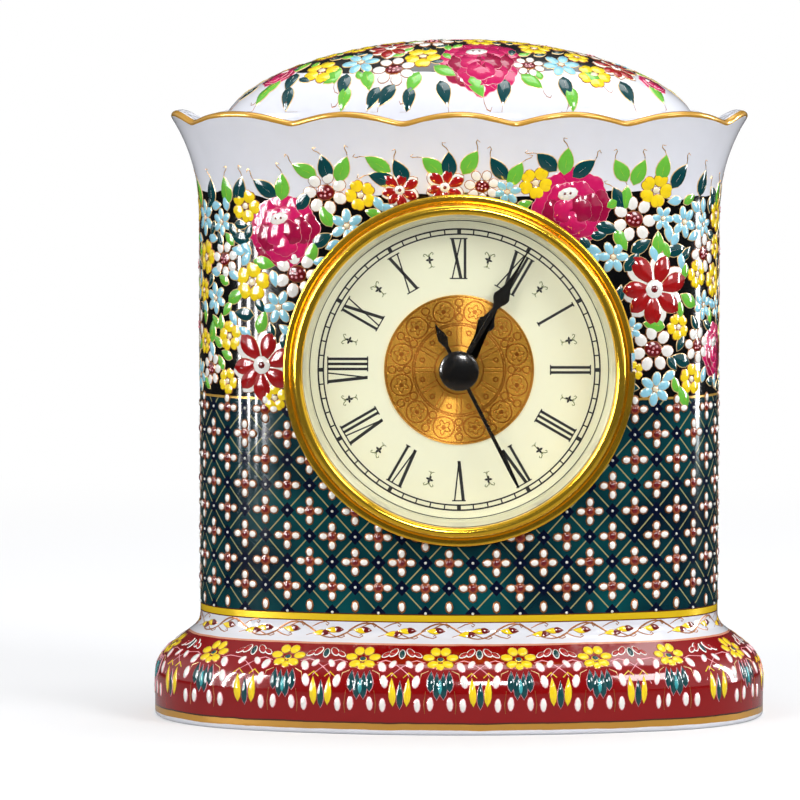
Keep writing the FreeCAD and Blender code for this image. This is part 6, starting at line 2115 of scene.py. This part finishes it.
    def hands(self) -> None:
        """Make the three hands and the domed hub cap."""
        self.hand("spade_hour_hand", self.spade(25.0, 14.2, 2.3, 0.7), 0.2, 0.0, "hour")
        self.hand("spade_minute_hand", self.spade(35.7, 21.8, 2.15, 0.65), -1.0, 0.0, "minute")
        side = [(0.0, -13.7), (0.45, -11.8), (1.1, -10.2), (1.3, -9.0), (0.5, -7.0), (0.5, -4.0), (0.5, 4.0)]
        side += [(0.5, 30.0), (0.28, 33.6)]
        self.hand("seconds_pointer", self.both_sides(side), -2.2, self.seconds_angle, "seconds")
        section = [(0.0, -2.9), (4.9, -2.9), (5.15, -3.1)]
        section += [(5.15 * math.cos(t), -3.15 - 1.22 * math.sin(t)) for t in (math.pi / 20 * s for s in range(10))]
        cap = Meshes.lathe("hub_cap", section + [(0.0, -4.37)], 96, loop=False)
        Meshes.edges(cap, 40.0)
        self.adopt(cap, self.black, "seconds", "seconds_cap")

    def build(self) -> None:
        """Make every visible piece of the insert."""
        self.bezel()
        self.lens()
        self.slope_ring()
        self.print_dial()
        self.hands()


@dataclass
class EmbossedBrass:
    """The dial's middle: a brass disc with an inner fan and an outer lace ring pressed into it."""

    height: float = DIAL_HEIGHT
    sectors: int = 12
    line: float = 0.2
    lobe_radius: float = 15.3

    def build(self) -> bpy.types.Material:
        """Return the material, whose pattern is read from the distance and angle round the disc."""
        material, kit = NodeKit.start("embossed_brass_disc")
        across, _, up = kit.split(kit.add("ShaderNodeTexCoord").outputs["Object"])
        x = kit.math("MULTIPLY", across, 1000.0)
        z = kit.math("MULTIPLY_ADD", up, 1000.0, -self.height)
        away = kit.length(x, z)
        marks = [kit.near(away, radius, 0.18) for radius in (6.2, 11.4, 11.9, 18.7)]
        marks += self.flowers(kit, away, self.sector(kit, x, z, away, 0.0))
        marks += self.spokes(kit, away, self.sector(kit, x, z, away, 0.5))
        # The pressed lines set the bump and a rougher finish, and their darker brown is painted shade in the
        # grooves.
        relief_and_groove_shade = kit.most(*marks)
        kit.shade({
            "Base Color": kit.mix(relief_and_groove_shade, srgb(232, 172, 66), srgb(146, 84, 14)),
            "Roughness": kit.math("MULTIPLY_ADD", relief_and_groove_shade, 0.10, 0.24),
            "Metallic": 0.7,
            "Anisotropic": 0.92,
            "Tangent": kit.add("ShaderNodeCombineXYZ", {0: x, 2: z}).outputs[0],
        })
        kit.bump(relief_and_groove_shade, 0.35, 0.00012, True)
        return material

    def sector(self, kit: NodeKit, x: Socket, z: Socket, away: Socket, shift: float) -> Socket:
        """Return the distance sideways from the middle line of the nearest sector."""
        share = kit.math("MULTIPLY_ADD", kit.math("ARCTAN2", x, z), self.sectors / math.tau, shift)
        share = kit.math("SUBTRACT", kit.math("FRACT", share), 0.5)
        return kit.math("MULTIPLY", kit.math("MULTIPLY", share, math.tau / self.sectors), away)

    def flowers(self, kit: NodeKit, away: Socket, across: Socket) -> List[Socket]:
        """Return the marks of the five-lobed flowers in their rings, and of the small rings inside."""
        up = kit.math("SUBTRACT", away, self.lobe_radius)
        reach = kit.length(across, up)
        lobes = kit.math("COSINE", kit.math("MULTIPLY", kit.math("ARCTAN2", across, up), 5.0))
        petal = kit.math("SUBTRACT", reach, kit.math("MULTIPLY", lobes, 0.42))
        inside = kit.length(across, kit.math("SUBTRACT", away, 9.7))
        return [
            kit.near(reach, 2.75, self.line), kit.near(petal, 1.45, self.line), kit.near(reach, 0.3, 0.3),
            kit.near(inside, 0.55, self.line),
        ]

    def spokes(self, kit: NodeKit, away: Socket, across: Socket) -> List[Socket]:
        """Return the marks of the rings between the flowers and of the fan's double spokes."""
        marks = []
        for radius, size in ((13.4, 0.95), (17.2, 0.95), (self.lobe_radius, 0.5)):
            ring = kit.length(across, kit.math("SUBTRACT", away, radius))
            marks.append(kit.near(ring, size, self.line))
        spoke = kit.near(kit.math("ABSOLUTE", across), 0.55, 0.13)
        return marks + [kit.math("MULTIPLY", spoke, kit.between(away, 6.2, 11.4))]


# ---------------------------------------------------------------- what stays hidden


def moulded(name: str, colour: Colour, rough: float, scale: float, tone: float, bump: float) -> Finish:
    """Return a finish of moulded rubber or plastic."""
    return Finish(name, colour, rough=rough, scale=scale, tone=tone, bump=bump)


def bare_metal(name: str, colour: Colour, rough: float, scale: float, tone: float, stretch: float = 1.0) -> Finish:
    """Return a finish of bare metal."""
    return Finish(name, colour, rough=rough, metal=1.0, scale=scale, tone=tone, stretch=stretch)


@dataclass
class HiddenMovement:
    """The coil's wire, and finishes of the solids that stay as they are, from the dial to the cell."""

    wire: float = 0.42
    wire_steps: int = 20
    wire_sides: int = 6
    insert_turn: float = 30.0
    finishes: Dict[str, Finish] = field(
        default_factory=lambda: {
            "cream_paint": Finish(
                "dial_cream", srgb(238, 238, 206), rough=0.42, coat=0.2, scale=900.0, tone=0.03, bump=0.02
            ),
            "gasket_rubber": moulded("gasket_black", srgb(26, 24, 22), 0.7, 1200.0, 0.3, 0.2),
            "grip_rubber": moulded("grip_black_rubber", srgb(20, 20, 20), 0.75, 900.0, 0.35, 0.35),
            "black_plastic": moulded("black_moulded_plastic", srgb(22, 22, 23), 0.48, 1600.0, 0.25, 0.25),
            "white_plastic": moulded("white_moulded_plastic", srgb(222, 220, 212), 0.42, 1400.0, 0.05, 0.12),
            "screw_steel": bare_metal("screw_steel", srgb(172, 172, 176), 0.3, 1500.0, 0.12),
            "board_laminate": Finish(
                "board_green", srgb(24, 92, 52), rough=0.32, coat=0.3, scale=1300.0, tone=0.22, bump=0.1
            ),
            "crystal_can": bare_metal("crystal_can", srgb(190, 190, 196), 0.22, 900.0, 0.1, 6.0),
            "black_gloss": Insert.black,
            "copper_wire": Finish(
                "lacquered_copper", srgb(184, 92, 44), rough=0.28, metal=0.9, coat=0.4, scale=1800.0, tone=0.35,
                bump=0.3,
            ),
            "soft_iron": Finish(
                "soft_iron", srgb(130, 130, 134), rough=0.4, metal=1.0, scale=900.0, stretch=5.0, tone=0.15,
                bump=0.08,
            ),
            "magnet_iron": Finish(
                "dark_magnet", srgb(58, 58, 60), rough=0.5, metal=0.8, scale=1500.0, tone=0.25, bump=0.2
            ),
            "spring_steel": bare_metal("spring_steel", srgb(188, 186, 176), 0.25, 900.0, 0.1, 4.0),
            "cell_jacket": Finish("cell_jacket", srgb(44, 58, 96), rough=0.22, coat=0.5, scale=600.0, tone=0.08),
            "cell_steel": bare_metal("cell_steel", srgb(198, 198, 200), 0.2, 900.0, 0.08),
        }
    )

    def winding(self) -> None:
        """Wind the coil's wire in two layers, turn by turn, in place of the plain ring of the solid model."""
        solid = frame["nodes"]["coil_winding"]
        places = [solid.matrix_world @ vertex.co / MM for vertex in solid.data.vertices]
        sine, cosine = heading(self.insert_turn)
        axis, depth = Vector((cosine, 0.0, -sine)), Vector((0.0, 1.0, 0.0))
        cross = axis.cross(depth)
        spans = [sorted(place.dot(way) for place in places)[:: len(places) - 1] for way in (axis, depth, cross)]
        middle = [(low + high) / 2 for low, high in spans]
        outer, half = (spans[1][1] - spans[1][0]) / 2, self.wire / 2
        start, end = spans[0][0] + half, spans[0][1] - half
        steps = int((spans[0][1] - spans[0][0] - self.wire) / self.wire) * self.wire_steps
        rows = []
        for layer in range(2):
            reach = outer - self.wire * (0.5 + 0.86 * (1 - layer))
            for step in range(steps + 1):
                share = step / steps if layer == 0 else 1 - step / steps
                angle = math.tau * step / self.wire_steps
                row = []
                for tilt in circle(self.wire_sides):
                    out = reach + half * math.cos(tilt)
                    far = lerp(start, end, share) + half * math.sin(tilt)
                    ring = depth * (middle[1] + out * math.cos(angle)) + cross * (middle[2] + out * math.sin(angle))
                    row.append(axis * far + ring)
                rows.append(row)
        coil = Meshes.grid("wound_coil", rows)
        Meshes.outwards(coil.data)
        coil.data.materials.append(self.finishes["copper_wire"].build())
        attach(coil, "insert", "coil_winding")

    def build(self) -> None:
        """Wind the coil and give every CAD solid that stays its own finish."""
        self.winding()
        slots = {item["node"]: item.get("material_slot") for item in frame["record"]["subparts"]}
        for name, solid in frame["nodes"].items():
            if solid.hide_render:
                continue
            finish = EmbossedBrass() if name == "dial_centre" else self.finishes[slots[name]]
            solid.data.materials.clear()
            solid.data.materials.append(finish.build())
            log.info("%s keeps its solid, dressed for its slot %s", name, slots[name])


def main() -> None:
    """Build every sub-assembly in order."""
    logging.basicConfig(level=logging.INFO, format="%(name)s: %(message)s")
    eye = Viewpoint()
    eye.build()
    Studio().build()
    skin = CaseSkin()
    PorcelainCase(skin).build()
    Lattice(skin, CaseGlaze(skin)).build()
    FlowerBand(skin, eye).build()
    DomeSpray(skin, eye).build()
    PlinthBands(skin).build()
    Insert().build()
    HiddenMovement().build()


if __name__ == "__main__":
    main()
